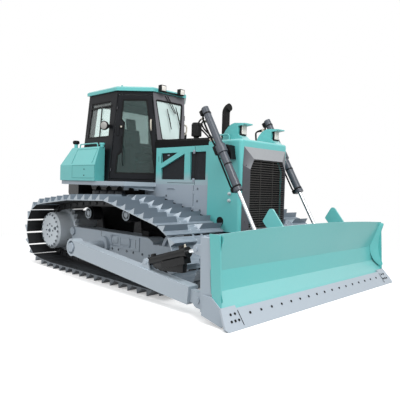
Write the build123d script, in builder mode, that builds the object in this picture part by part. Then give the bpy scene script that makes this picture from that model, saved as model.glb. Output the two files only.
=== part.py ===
"""Crawler bulldozer with wide swamp tracks, a straight tilt blade and a six-sided cab.

Millimetres. +X is forward, +Y is left, +Z is up, and the ground under the tracks is z = 0.
Stations along the machine are measured from the sprockets' axle, and at() turns one into an x.
"""

import os
from math import hypot, sqrt

from build123d import *

os.makedirs("parts", exist_ok=True)

# ---------------------------------------------------------------- whole machine
edge_tip_station = 4837
drawbar_station = -600
sprocket_x = -(edge_tip_station + drawbar_station) / 2
seat_gap = 0.3
swing_gap = 10
past = 1  # how far a cut runs past the face that it opens
SIDES = {"right": -1, "left": 1}


def at(station):
    """The x of a station measured forward from the sprockets' axle."""
    return sprocket_x + station


def upright(y):
    """A plane that faces right at y, with sketch x forward and sketch y up."""
    return Plane.XZ.offset(-y)


def across(station):
    """A plane that faces forward at a station, with sketch x left and sketch y up."""
    return Plane.YZ.offset(at(station))


def save(piece, node):
    """Label a finished sub-part and write its STEP file."""
    piece.part.label = node
    export_step(piece.part, f"parts/{node}.step")


# ---------------------------------------------------------------- undercarriage
track_gauge = 2300
shoe_width = 1100
shoe_count = 42
shoe_gap = 6
shoe_plate = 15
grouser_height = 85
grouser_lean = 6
grouser_share = 0.57
notch_margin = 5
link_half_height = 50
link_inner = 60
link_outer = 100
pin_line = shoe_plate + grouser_height + link_half_height

sprocket_radius = 425
sprocket_z = 610
sprocket_width = 65
sprocket_teeth = 25
idler_station = 3150
idler_z = 530
idler_radius = 380
roller_count = 7
roller_first = 420
roller_last = 2720
roller_tread = 105
roller_z = pin_line + link_half_height + roller_tread
carrier_tread = 120
carrier_cap = 98
carrier_cap_depth = 25
carriers = ((944, 975), (2013, 1010))  # station, z
tread_width = 204
roller_waist = 50
waist_width = 100

track_y = track_gauge / 2
carrier_radius = carrier_tread + link_half_height
belt_wheels = [(0, sprocket_z, sprocket_radius), (roller_first, roller_z, roller_z - pin_line)]
belt_wheels += [(idler_station, idler_z, idler_radius)]
belt_wheels += [(station, z, carrier_radius) for station, z in carriers]

with BuildSketch(Plane.XZ) as belt:
    with BuildLine():
        for station, z, radius in belt_wheels:
            CenterArc((at(station), z), radius, 0, 360)
    make_hull()
belt_wire = belt.sketch.face().outer_wire()
pitch = belt_wire.length / shoe_count
pins = [belt_wire.position_at(i * pitch, position_mode=PositionMode.LENGTH) for i in range(shoe_count)]
middle = sum(pins, Vector(0, 0, 0)) / shoe_count

# One shoe on its own plane: x is the way the upper run travels, z is outwards from the pins.
shoe_half = (pitch - shoe_gap) / 2
plate_top = link_half_height + shoe_plate
grouser_top = plate_top + grouser_height
grouser_face = -shoe_half + grouser_share * 2 * shoe_half
notch_half = link_outer + notch_margin
with BuildPart() as shoe:
    with BuildSketch(Plane.XZ):
        with BuildLine():
            Polyline(
                (-shoe_half, link_half_height),
                (shoe_half, link_half_height),
                (shoe_half, plate_top),
                (grouser_face, plate_top),
                (grouser_face - grouser_lean, grouser_top),
                (-shoe_half, plate_top),
                close=True,
            )
        make_face()
    extrude(amount=shoe_width / 2, both=True)
    with BuildSketch(Plane.YZ):
        with BuildLine():
            Polyline(
                (-notch_half, plate_top),
                (notch_half, plate_top),
                (notch_half + grouser_height / 2, grouser_top + past),
                (-notch_half - grouser_height / 2, grouser_top + past),
                close=True,
            )
        make_face()
    extrude(amount=pitch, both=True, mode=Mode.SUBTRACT)

# The chain is two strands of links, seen from the side as a ring about the line of pins.
with BuildSketch(Plane.XZ) as pin_loop:
    with BuildLine():
        Polyline(*[(p.X, p.Z) for p in pins], close=True)
    make_face()
chain_outside = offset(pin_loop.sketch, amount=link_half_height, kind=Kind.INTERSECTION)
chain_inside = offset(pin_loop.sketch, amount=-link_half_height, kind=Kind.INTERSECTION)
rail = chain_inside.face().outer_wire()


def tread_radius(station, z):
    """The largest tread that a wheel at a station can have inside the chain."""
    return rail.distance_to(Vector(at(station), 0, z)) - seat_gap


shoes = []
for start, end in zip(pins, pins[1:] + pins[:1]):
    place = (start + end) / 2
    outward = Vector(0, 1, 0).cross(end - start)
    if outward.dot(place - middle) < 0:
        outward = -outward
    forward = Vector(0, 1, 0).cross(outward)
    plane = Plane((place.X, -track_y, place.Z), x_dir=forward, z_dir=outward)
    shoes.append(plane.location * shoe.part)

with BuildPart() as track_right:
    for strand in (-1, 1):
        with BuildSketch(upright(-track_y + strand * (link_inner + link_outer) / 2)):
            add(chain_outside.faces())
            add(chain_inside.faces(), mode=Mode.SUBTRACT)
        extrude(amount=(link_outer - link_inner) / 2, both=True)
    add(shoes)
save(track_right, "track_right")
with BuildPart() as track_left:
    mirror(track_right.part, about=Plane.XZ)
save(track_left, "track_left")

# The sprocket's teeth stand between the strands and reach almost to the shoes' plates.
tooth_tip = 452
tooth_root = 375
tooth_foot = 10  # how deep a tooth stands in the disc
tooth_base = 52
tooth_slope = 72  # degrees
hub_radius = 330
hub_face_y = 1490
hub_dome = 40
drum_radius = 350
drum_dome = 60
drum_inner_y = 520
for side, sign in SIDES.items():
    inner = sign * (track_y - sprocket_width / 2)
    outer = sign * (track_y + sprocket_width / 2)
    with BuildPart() as sprocket:
        with BuildSketch(upright(sign * track_y)):
            with Locations((at(0), sprocket_z)):
                Circle(tooth_root + tooth_foot)
                with PolarLocations(tooth_root, sprocket_teeth):
                    Trapezoid(
                        tooth_base,
                        tooth_tip - tooth_root,
                        tooth_slope,
                        rotation=-90,
                        align=(Align.CENTER, Align.MIN),
                    )
        extrude(amount=sprocket_width / 2, both=True)
        # Stepped final drive: a drum from the hull to the sprocket and a domed cover outside it.
        with BuildSketch(Plane.XY.offset(sprocket_z)):
            with BuildLine():
                Polyline(
                    (at(0), sign * drum_inner_y),
                    (at(drum_radius - drum_dome), sign * drum_inner_y),
                    (at(drum_radius), sign * (drum_inner_y + drum_dome)),
                    (at(drum_radius), inner),
                    (at(0), inner),
                    close=True,
                )
            make_face()
            with BuildLine():
                Polyline(
                    (at(0), outer),
                    (at(hub_radius), outer),
                    (at(hub_radius), sign * (hub_face_y - hub_dome)),
                    (at(hub_radius - hub_dome), sign * hub_face_y),
                    (at(0), sign * hub_face_y),
                    close=True,
                )
            make_face()
        revolve(axis=Axis((at(0), 0, sprocket_z), (0, 1, 0)))
    save(sprocket, f"sprocket_{side}")

# ---------------------------------------------------------------- track frames
frame_half = 118
frame_top = 712
frame_floor = 440
frame_front = 2690
frame_rear = 520
frame_slope = (120, 60)  # how far the beam's nose slopes back and down
guard_plate = 14
guard_bottom = 262
guard_rear = 400
guard_corner = 60
cover_station = 2120
cover_z = 585
cover_length = 520
cover_height = 210
cover_margin = 40
cover_rise = 12
pivot_station = guard_rear + 75
pivot_z = sprocket_z + 20
pivot_radius = 60
pivot_boss_radius = 68
pivot_boss_depth = 40
pivot_boss_y = track_y + frame_half + 45
trunnion_station = 1470
trunnion_z = 490
trunnion_radius = 70
flange_radius = 140
flange_depth = 60
flange_y = track_y + frame_half + 70
arm_width = 160
arm_gap = 40  # between the shoes' ends and the push arm
arm_y = (track_gauge + shoe_width + arm_width) / 2 + arm_gap
trunnion_end_y = arm_y + 95
roller_shaft = 30
plate_y = frame_half + guard_plate / 2
roller_step = (roller_last - roller_first) / (roller_count - 1)
idler_tread = tread_radius(idler_station, idler_z)
fork_half = 132
fork_plate = 24
fork_low = idler_z - 75
fork_high = idler_z + 95
fork_crosshead = (90, 170)  # depth and height
fork_tip = idler_station + 95
idler_hub = 80
idler_side_play = 2
idler_hub_half = fork_half - fork_plate / 2 - idler_side_play
idler_web_half = 60
idler_rim = 50
carrier_arm_half = 16
carrier_arm_y = tread_width / 2 + carrier_arm_half + 6
carrier_foot_reach = 110
carrier_head_reach = 45
carrier_head_rise = 30
carrier_margin = 12
for side, sign in SIDES.items():
    yc = sign * track_y
    with BuildPart() as track_frame:
        # Box beam over the rollers, with a plate each side that hangs down past them.
        with BuildSketch(upright(yc)):
            with BuildLine():
                Polyline(
                    (at(frame_rear), frame_floor),
                    (at(frame_front), frame_floor),
                    (at(frame_front), frame_top - frame_slope[1]),
                    (at(frame_front - frame_slope[0]), frame_top),
                    (at(frame_rear), frame_top),
                    close=True,
                )
            make_face()
        extrude(amount=frame_half, both=True)
        for face in (-1, 1):
            with BuildSketch(upright(yc + face * plate_y)):
                with BuildLine():
                    Polyline(
                        (at(guard_rear + guard_corner), guard_bottom + guard_corner),
                        (at(roller_first + roller_tread), guard_bottom),
                        (at(frame_front - guard_corner), guard_bottom),
                        (at(frame_front), guard_bottom + guard_corner),
                        (at(frame_front), frame_top - frame_slope[1]),
                        (at(frame_front - frame_slope[0]), frame_top),
                        (at(guard_rear + guard_corner / 2), frame_top),
                        (at(guard_rear), frame_top - guard_corner / 2),
                        close=True,
                    )
                make_face()
            extrude(amount=guard_plate / 2, both=True)
        # Trunnion that carries the push arm, passed out between the two runs of the track.
        with BuildSketch(upright(sign * trunnion_end_y)):
            with Locations((at(trunnion_station), trunnion_z)):
                Circle(trunnion_radius)
        extrude(amount=sign * (trunnion_end_y - track_y - frame_half))
        with BuildSketch(upright(sign * flange_y)):
            with Locations((at(trunnion_station), trunnion_z)):
                Circle(flange_radius)
        extrude(amount=sign * flange_depth)
        # Round boss of the pivot shaft, and brackets for the carrier rollers.
        with BuildSketch(upright(sign * pivot_boss_y)):
            with Locations((at(pivot_station), pivot_z)):
                Circle(pivot_boss_radius)
        extrude(amount=sign * pivot_boss_depth)
        for station, z in carriers:
            with BuildSketch(upright(yc - sign * carrier_arm_y)):
                with BuildLine():
                    Polyline(
                        (at(station - carrier_foot_reach), frame_top - guard_plate),
                        (at(station + carrier_foot_reach), frame_top - guard_plate),
                        (at(station + carrier_head_reach), z + carrier_head_rise),
                        (at(station - carrier_head_reach), z + carrier_head_rise),
                        close=True,
                    )
                make_face()
            extrude(amount=carrier_arm_half, both=True)
        # Raised cover over the track adjuster, with a hatch cut in it.
        with BuildSketch(upright(sign * (track_y + frame_half + guard_plate))):
            with Locations((at(cover_station), cover_z)):
                Rectangle(cover_length, cover_height)
                Rectangle(
                    cover_length - 2 * cover_margin,
                    cover_height - 2 * cover_margin,
                    mode=Mode.SUBTRACT,
                )
        extrude(amount=-sign * cover_rise)
        # Fork of the front idler, two cheeks on a crosshead at the beam's end.
        for face in (-1, 1):
            with BuildSketch(upright(yc + face * fork_half)):
                with BuildLine():
                    Polyline(
                        (at(frame_front), fork_low),
                        (at(fork_tip - 65), fork_low),
                        (at(fork_tip), fork_low + 55),
                        (at(fork_tip), fork_high - 45),
                        (at(fork_tip - 55), fork_high),
                        (at(frame_front), fork_high),
                        close=True,
                    )
                make_face()
            extrude(amount=fork_plate / 2, both=True)
        with BuildSketch(across(frame_front)):
            with Locations((yc, (fork_low + fork_high) / 2)):
                Rectangle(2 * fork_half, fork_crosshead[1])
        extrude(amount=fork_crosshead[0])
    save(track_frame, f"track_frame_{side}")

    # Rollers on fixed shafts: seven below the frame and two above it.
    with BuildPart() as rollers:
        for i in range(roller_count):
            x = at(roller_first + i * roller_step)
            tread = tread_radius(roller_first + i * roller_step, roller_z)
            with BuildSketch(upright(yc)):
                with Locations((x, roller_z)):
                    Circle(tread)
            extrude(amount=frame_half - seat_gap, both=True)
        # The sprocket's teeth pass through a waist in the rearmost roller.
        with BuildSketch(upright(yc)):
            with Locations((at(roller_first), roller_z)):
                Circle(roller_tread)
                Circle(roller_waist, mode=Mode.SUBTRACT)
        extrude(amount=waist_width / 2, both=True, mode=Mode.SUBTRACT)
        for station, z in carriers:
            bracket_face = yc - sign * (carrier_arm_y - carrier_arm_half - seat_gap)
            with BuildSketch(upright(yc)):
                with Locations((at(station), z)):
                    Circle(tread_radius(station, z))
            extrude(amount=tread_width / 2 - carrier_margin, both=True)
            with BuildSketch(upright(bracket_face)):
                with Locations((at(station), z)):
                    Circle(roller_shaft)
            extrude(amount=-sign * (tread_width / 2))
            with BuildSketch(upright(sign * (track_y + tread_width / 2 - carrier_margin))):
                with Locations((at(station), z)):
                    Circle(carrier_cap)
            extrude(amount=-sign * carrier_cap_depth)
    save(rollers, f"rollers_{side}")

    # Front idler: a wide rim on a dished web, with its hub between the fork's cheeks.
    with BuildPart() as idler:
        with BuildSketch(Plane.XY.offset(idler_z)):
            x = at(idler_station)
            with BuildLine():
                Polyline(
                    (x, yc - idler_hub_half),
                    (x + idler_hub, yc - idler_hub_half),
                    (x + idler_hub, yc - idler_web_half),
                    (x + idler_tread - idler_rim, yc - idler_web_half),
                    (x + idler_tread - idler_rim, yc - tread_width / 2),
                    (x + idler_tread, yc - tread_width / 2),
                    (x + idler_tread, yc + tread_width / 2),
                    (x + idler_tread - idler_rim, yc + tread_width / 2),
                    (x + idler_tread - idler_rim, yc + idler_web_half),
                    (x + idler_hub, yc + idler_web_half),
                    (x + idler_hub, yc + idler_hub_half),
                    (x, yc + idler_hub_half),
                    close=True,
                )
            make_face()
        revolve(axis=Axis((x, 0, idler_z), (0, 1, 0)))
    save(idler, f"idler_{side}")

# ---------------------------------------------------------------- hull
hull_half = 460
deck_under = 1460
deck_top = 1530
engine_rear = 1560
nose_rear = 3060
nose_front = 3700
case_rear = -380
rail_rear_station = engine_rear + 150
rail_rear_z = 960
rail_front_z = 835


def hull_line(station):
    """The height of the hull's top under the engine at a station."""
    share = (station - rail_rear_station) / (nose_rear - rail_rear_station)
    return rail_rear_z + share * (rail_front_z - rail_rear_z)


with BuildPart() as main_frame:
    # Transmission case at the rear, engine rails in front, all as one welded hull.
    with BuildSketch(Plane.XZ):
        with BuildLine():
            Polyline(
                (at(case_rear), 470),
                (at(case_rear + 160), 390),
                (at(1250), 390),
                (at(1700), 520),
                (at(nose_front - 120), 620),
                (at(nose_front - 60), 700),
                (at(nose_front - 60), rail_front_z),
                (at(nose_rear), rail_front_z),
                (at(rail_rear_station), rail_rear_z),
                (at(engine_rear), deck_under),
                (at(case_rear + 60), deck_under),
                (at(case_rear), deck_under - 120),
                close=True,
            )
        make_face()
    extrude(amount=hull_half, both=True)
    with BuildSketch(Plane.XZ):
        with Locations((at(pivot_station), pivot_z)):
            Circle(pivot_radius)
    extrude(amount=track_y - frame_half - guard_plate, both=True)
    # The axle case leaves room for the two drums of the final drives.
    with BuildSketch(Plane.XZ):
        with Locations((at(0), sprocket_z)):
            Circle(drum_radius - drum_dome)
    extrude(amount=drum_inner_y, both=True)
save(main_frame, "main_frame")

# Equalizer bar: crosses under the engine and rests on both track frames.
bar_station = 2420
bar_height = 110
bar_width = 150
bar_foot = 60  # how far the bar runs past the middles of the track frames
bar_slope = 30
with BuildPart() as equalizer_bar:
    with BuildSketch(across(bar_station)):
        with BuildLine():
            Polyline(
                (-track_y - bar_foot, frame_top + seat_gap),
                (track_y + bar_foot, frame_top + seat_gap),
                (track_y + bar_foot, frame_top + bar_height - bar_slope),
                (hull_half + bar_slope, frame_top + bar_height),
                (-hull_half - bar_slope, frame_top + bar_height),
                (-track_y - bar_foot, frame_top + bar_height - bar_slope),
                close=True,
            )
        make_face()
    extrude(amount=bar_width / 2, both=True)
    with BuildSketch(across(bar_station)):
        with Locations((0, frame_top + bar_height / 2)):
            Rectangle(2 * hull_half + 2 * seat_gap, 2 * bar_height)
    extrude(amount=bar_width, both=True, mode=Mode.SUBTRACT)
save(equalizer_bar, "equalizer_bar")

# Drawbar: a tongue under the rear of the hull with an upright pin hole.
drawbar_half = 75
drawbar_plate = 70
drawbar_z = 520
drawbar_bore = 27
drawbar_flange = (420, 230, 28)  # width, height and thickness
drawbar_pin_station = -530
with BuildPart() as drawbar:
    with BuildSketch(Plane.XY.offset(drawbar_z)):
        with BuildLine():
            l1 = Polyline(
                (at(case_rear - seat_gap), -drawbar_half * 2),
                (at(drawbar_pin_station), -drawbar_half),
            )
            a1 = ThreePointArc(l1 @ 1, (at(drawbar_station), 0), (at(drawbar_pin_station), drawbar_half))
            l2 = Line(a1 @ 1, (at(case_rear - seat_gap), drawbar_half * 2))
            Line(l2 @ 1, l1 @ 0)
        make_face()
    extrude(amount=drawbar_plate)
    with BuildSketch(across(case_rear - seat_gap)):
        with Locations((0, drawbar_z + drawbar_plate / 2)):
            Rectangle(drawbar_flange[0], drawbar_flange[1])
    extrude(amount=-drawbar_flange[2])
    with Locations((at(drawbar_pin_station), 0, drawbar_z + drawbar_plate)):
        Hole(drawbar_bore)
save(drawbar, "drawbar")

# ---------------------------------------------------------------- engine bay
nose_half = 560
bay_half = nose_half - 10
panel_sheet = 30
panel_rear = 1840
panel_top = 2110
panel_bottom = 1507
hood_half = bay_half - 45
hood_top_rear = 2262
hood_top_front = 2235
hood_rear = 1735
engine_rear_station = panel_rear + 80
engine_front_station = nose_rear - 60
engine_half = 330
engine_top = (1980, 1900)  # at its rear and at its front

with BuildPart() as engine:
    with BuildSketch(Plane.XZ):
        with BuildLine():
            Polyline(
                (at(engine_rear_station), hull_line(engine_rear_station) + seat_gap),
                (at(engine_front_station), hull_line(engine_front_station) + seat_gap),
                (at(engine_front_station), engine_top[1]),
                (at(engine_rear_station), engine_top[0]),
                close=True,
            )
        make_face()
    extrude(amount=engine_half, both=True)
save(engine, "engine")

hood_sheet = 24
hood_edge = 35
hood_side = 45
with BuildPart() as hood:
    with BuildSketch(Plane.XZ):
        with BuildLine():
            Polyline(
                (at(hood_rear), panel_top + seat_gap),
                (at(nose_rear - seat_gap), panel_top + seat_gap),
                (at(nose_rear - seat_gap), hood_top_front),
                (at(hood_rear), hood_top_rear),
                close=True,
            )
        make_face()
    extrude(amount=hood_half, both=True)
    top_edges = hood.faces().sort_by(Axis.Z)[-1].edges()
    chamfer(top_edges.filter_by(Axis.Y, reverse=True), length=hood_edge)
    with BuildSketch(Plane.XZ):
        with BuildLine():
            Polyline(
                (at(hood_rear + hood_sheet), panel_top - past),
                (at(nose_rear + past), panel_top - past),
                (at(nose_rear + past), hood_top_front - hood_sheet),
                (at(hood_rear + hood_sheet), hood_top_rear - hood_sheet),
                close=True,
            )
        make_face()
    extrude(amount=hood_half - hood_side, both=True, mode=Mode.SUBTRACT)
save(hood, "hood")

# Side panels: a sloping bar divides the big window, and a narrow window follows it.
window_low = panel_bottom + 80
window_high = panel_top - 90
big_rear = panel_rear + 130
big_front = big_rear + 560
small_rear = big_front + 130
small_front = nose_rear - 60
bar_low = window_high - 250
bar_rise = 80
bar_drop = 20
bar_run = 400
for side, sign in SIDES.items():
    with BuildPart() as side_panel:
        with BuildSketch(upright(sign * bay_half)):
            with BuildLine():
                Polyline(
                    (at(panel_rear), panel_bottom),
                    (at(nose_rear - seat_gap), panel_bottom),
                    (at(nose_rear - seat_gap), panel_top),
                    (at(panel_rear), panel_top),
                    close=True,
                )
            make_face()
            with BuildLine():
                Polyline(
                    (at(big_rear), window_low),
                    (at(big_front), window_low),
                    (at(big_front), window_high - bar_drop),
                    (at(big_rear), bar_low),
                    close=True,
                )
            make_face(mode=Mode.SUBTRACT)
            with BuildLine():
                Polyline(
                    (at(big_rear), bar_low + bar_rise),
                    (at(big_rear + bar_run), window_high),
                    (at(big_rear), window_high),
                    close=True,
                )
            make_face(mode=Mode.SUBTRACT)
            with BuildLine():
                Polyline(
                    (at(small_rear), window_low),
                    (at(small_front), window_low),
                    (at(small_front), window_high),
                    (at(small_rear), window_high),
                    close=True,
                )
            make_face(mode=Mode.SUBTRACT)
        extrude(amount=sign * panel_sheet)
    save(side_panel, f"side_panel_{side}")

# Dark perforated sheets behind the windows.
mesh_face = bay_half - panel_sheet - seat_gap
mesh_sheet = 6
mesh_margin = 30
with BuildPart() as side_meshes:
    for sign in SIDES.values():
        with BuildSketch(upright(sign * mesh_face)):
            with BuildLine():
                Polyline(
                    (at(big_rear - mesh_margin), window_low - mesh_margin),
                    (at(small_front + mesh_margin), window_low - mesh_margin),
                    (at(small_front + mesh_margin), window_high + mesh_margin),
                    (at(big_rear - mesh_margin), window_high + mesh_margin),
                    close=True,
                )
            make_face()
        extrude(amount=sign * mesh_sheet)
save(side_meshes, "side_meshes")

# Lower covers of the engine bay, down towards the hull and cut up towards the cab.
cover_low = ((0, 1300), (464, 1294), (665, 1236))  # how far ahead of the engine bay's rear, z
cover_front_z = 1030
with BuildPart() as lower_covers:
    for sign in SIDES.values():
        with BuildSketch(upright(sign * bay_half)):
            with BuildLine():
                Polyline(
                    *[(at(engine_rear + ahead), z) for ahead, z in cover_low],
                    (at(nose_rear - seat_gap), cover_front_z),
                    (at(nose_rear - seat_gap), panel_bottom - seat_gap),
                    (at(engine_rear), panel_bottom - seat_gap),
                    close=True,
                )
            make_face()
        extrude(amount=sign * panel_sheet)
save(lower_covers, "lower_covers")

# ---------------------------------------------------------------- nose
hoist_y = nose_half + 195
nose_wall = 30
nose_top = 2180
nose_bottom = 840
nose_round = 55
nose_top_round = 40
hole_station = 3301
hole_z = 926
hole_radius = 48
grille_half = nose_half - 130
grille_outer = ((grille_half, 900), (grille_half, 1746), (grille_half - 83, 1892))  # half width, z
bezel_half = nose_half - 37
bezel_low = grille_outer[0][1] - 30
bezel_shoulder = grille_outer[1][1] + 60
bezel_top = 2069
bezel_top_cut = 18
bezel_lip = 6  # how far the lip stands back from the opening
bezel_rise = 65
with BuildPart() as nose:
    with BuildSketch(Plane.XY.offset(nose_bottom)):
        with BuildLine():
            Polyline(
                (at(nose_rear), -nose_half),
                (at(nose_front), -nose_half),
                (at(nose_front), nose_half),
                (at(nose_rear), nose_half),
                close=True,
            )
        make_face()
    extrude(amount=nose_top - nose_bottom)
    fillet(nose.edges().filter_by(Axis.Z).group_by(Axis.X)[-1], nose_round)
    top_edges = nose.faces().sort_by(Axis.Z)[-1].edges()
    fillet(top_edges.sort_by(Axis.X)[1:], nose_top_round)
    with BuildSketch(Plane.XY.offset(nose_bottom - past)):
        with Locations((at((nose_rear + nose_front) / 2), 0)):
            Rectangle(nose_front - nose_rear - 2 * nose_wall, 2 * (nose_half - nose_wall))
    extrude(amount=nose_top - nose_wall - nose_bottom + past, mode=Mode.SUBTRACT)
    with BuildSketch(across(nose_rear - past)):
        with Locations((0, (nose_bottom + nose_top) / 2)):
            Rectangle(2 * (nose_half - nose_wall), nose_top - nose_bottom - 2 * nose_wall)
    extrude(amount=nose_wall + 2 * past, mode=Mode.SUBTRACT)
    with BuildSketch(across(nose_front - nose_wall - past)):
        with BuildLine():
            Polyline(
                (-grille_outer[0][0], grille_outer[0][1]),
                (grille_outer[0][0], grille_outer[0][1]),
                grille_outer[1],
                grille_outer[2],
                (-grille_outer[2][0], grille_outer[2][1]),
                (-grille_outer[1][0], grille_outer[1][1]),
                close=True,
            )
        make_face()
    extrude(amount=nose_wall + 2 * past, mode=Mode.SUBTRACT)
    with BuildSketch(Plane.XZ):
        with Locations((at(hole_station), hole_z)):
            Circle(hole_radius)
    extrude(amount=nose_half + past, both=True, mode=Mode.SUBTRACT)
save(nose, "nose")

with BuildPart() as bezel:
    with BuildSketch(across(nose_front + seat_gap)):
        with BuildLine():
            Polyline(
                (-bezel_half, bezel_low),
                (bezel_half, bezel_low),
                (bezel_half, bezel_shoulder),
                (bezel_half - bezel_top_cut, bezel_top),
                (-bezel_half + bezel_top_cut, bezel_top),
                (-bezel_half, bezel_shoulder),
                close=True,
            )
        make_face()
    with BuildSketch(across(nose_front + bezel_rise)):
        with BuildLine():
            Polyline(
                (-grille_outer[0][0] - bezel_lip, grille_outer[0][1] - bezel_lip),
                (grille_outer[0][0] + bezel_lip, grille_outer[0][1] - bezel_lip),
                (grille_outer[1][0] + bezel_lip, grille_outer[1][1] + bezel_lip / 2),
                (grille_outer[2][0] + bezel_lip / 2, grille_outer[2][1] + bezel_lip),
                (-grille_outer[2][0] - bezel_lip / 2, grille_outer[2][1] + bezel_lip),
                (-grille_outer[1][0] - bezel_lip, grille_outer[1][1] + bezel_lip / 2),
                close=True,
            )
        make_face()
    loft(ruled=True)
    with BuildSketch(across(nose_front)):
        with BuildLine():
            Polyline(
                (-grille_outer[0][0], grille_outer[0][1]),
                (grille_outer[0][0], grille_outer[0][1]),
                grille_outer[1],
                grille_outer[2],
                (-grille_outer[2][0], grille_outer[2][1]),
                (-grille_outer[1][0], grille_outer[1][1]),
                close=True,
            )
        make_face()
    extrude(amount=bezel_rise + past, mode=Mode.SUBTRACT)
save(bezel, "bezel")

# Grille: slats across the bezel's opening, with two uprights behind them.
slat_count = 30
slat_height = 9
slat_depth = 16
slat_margin = 10
slat_setback = 12
grille_face = nose_front + bezel_rise - slat_setback
upright_y = 150
upright_width = 10
upright_depth = 14
grille_height = grille_outer[2][1] - grille_outer[0][1]
slant_height = grille_outer[2][1] - grille_outer[1][1]
slat_step = (grille_height - 2 * slat_margin) / (slat_count - 1)
with BuildPart() as grille:
    for i in range(slat_count):
        z = grille_outer[0][1] + slat_margin + i * slat_step
        slant_share = max(0, (z + slat_height / 2 - grille_outer[1][1]) / slant_height)
        half = grille_half - slant_share * (grille_half - grille_outer[2][0]) - seat_gap
        with Locations((at(grille_face - slat_depth / 2), 0, z)):
            Box(slat_depth, 2 * half, slat_height)
    for sign in SIDES.values():
        foot = (at(grille_face - slat_depth - seat_gap), sign * upright_y, grille_outer[0][1] + seat_gap)
        with Locations(foot):
            Box(
                upright_depth,
                upright_width,
                grille_height - 2 * seat_gap,
                align=(Align.MAX, Align.CENTER, Align.MIN),
            )
save(grille, "grille")

# Radiator core: a flat block across the inside of the nose, behind the grille.
core_depth = 110
core_height = 1180
core_station = nose_front - nose_wall - 120
core_low = grille_outer[0][1] + 5
with BuildPart() as radiator:
    with Locations((at(core_station), 0, core_low)):
        Box(
            core_depth,
            2 * (nose_half - nose_wall - seat_gap),
            core_height,
            align=(Align.CENTER, Align.CENTER, Align.MIN),
        )
save(radiator, "radiator")

# Lamp pods on the nose: a rounded back, a visor over the lens and a toe in front.
pod_y = nose_half - 158
pod_half = 82
pod_face = 3560
pod_lens_z = 135
pod_lens_radius = 52
pod_lens_rise = 26
with BuildPart() as lamp_pods:
    for sign in SIDES.values():
        with BuildSketch(upright(sign * pod_y)):
            pod_foot = nose_top + seat_gap
            visor = pod_face + 132
            with BuildLine():
                back = ThreePointArc(
                    (at(pod_face - 298), pod_foot),
                    (at(pod_face - 215), pod_foot + 168),
                    (at(pod_face - 70), pod_foot + 238),
                )
                Polyline(
                    back @ 1,
                    (at(visor), pod_foot + 222),
                    (at(visor), pod_foot + 206),
                    (at(pod_face), pod_foot + 190),
                    (at(pod_face), pod_foot + 75),
                    (at(pod_face + 95), pod_foot),
                    back @ 0,
                )
            make_face()
        extrude(amount=pod_half, both=True)
        with BuildSketch(across(pod_face)):
            with Locations((sign * pod_y, nose_top + pod_lens_z)):
                Circle(pod_lens_radius)
        extrude(amount=pod_lens_rise)
save(lamp_pods, "lamp_pods")

# Exhaust stack with its elbow turned forward, and the pre-cleaner bowl behind it.
stack_station = 2890
stack_radius = 62
stack_bend = 95
stack_top = 2830
stack_foot = hood_top_front + 5
stack_turn = 78  # degrees
stack_bend_z = stack_top - stack_radius - stack_bend
with BuildPart() as exhaust:
    with BuildSketch(Plane.XY.offset(stack_foot)):
        with Locations((at(stack_station), 0)):
            Circle(stack_radius)
    extrude(amount=stack_bend_z - stack_foot)
    with BuildSketch(Plane.XY.offset(stack_bend_z)):
        with Locations((at(stack_station), 0)):
            Circle(stack_radius)
    elbow_axis = Axis((at(stack_station + stack_bend), 0, stack_bend_z), (0, 1, 0))
    revolve(axis=elbow_axis, revolution_arc=stack_turn)
save(exhaust, "exhaust")

cleaner_station = 2430
cleaner_y = -200
cleaner_neck = 45
cleaner_radius = 84
cleaner_neck_height = 51
cleaner_height = 281
hood_fall = (hood_top_rear - hood_top_front) / (nose_rear - seat_gap - hood_rear)
cleaner_foot = hood_top_rear - hood_fall * (cleaner_station - cleaner_neck - hood_rear) + seat_gap
with BuildPart() as pre_cleaner:
    with BuildSketch(Plane.XZ.offset(-cleaner_y)):
        x = at(cleaner_station)
        with BuildLine():
            Polyline(
                (x, cleaner_foot),
                (x + cleaner_neck, cleaner_foot),
                (x + cleaner_neck, cleaner_foot + cleaner_neck_height),
                (x + cleaner_radius, cleaner_foot + cleaner_neck_height + 12),
                (x + cleaner_radius, cleaner_foot + cleaner_height - 30),
                (x + cleaner_radius - 16, cleaner_foot + cleaner_height),
                (x, cleaner_foot + cleaner_height),
                close=True,
            )
        make_face()
    revolve(axis=Axis((at(cleaner_station), cleaner_y, 0), (0, 0, 1)))
save(pre_cleaner, "pre_cleaner")

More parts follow.
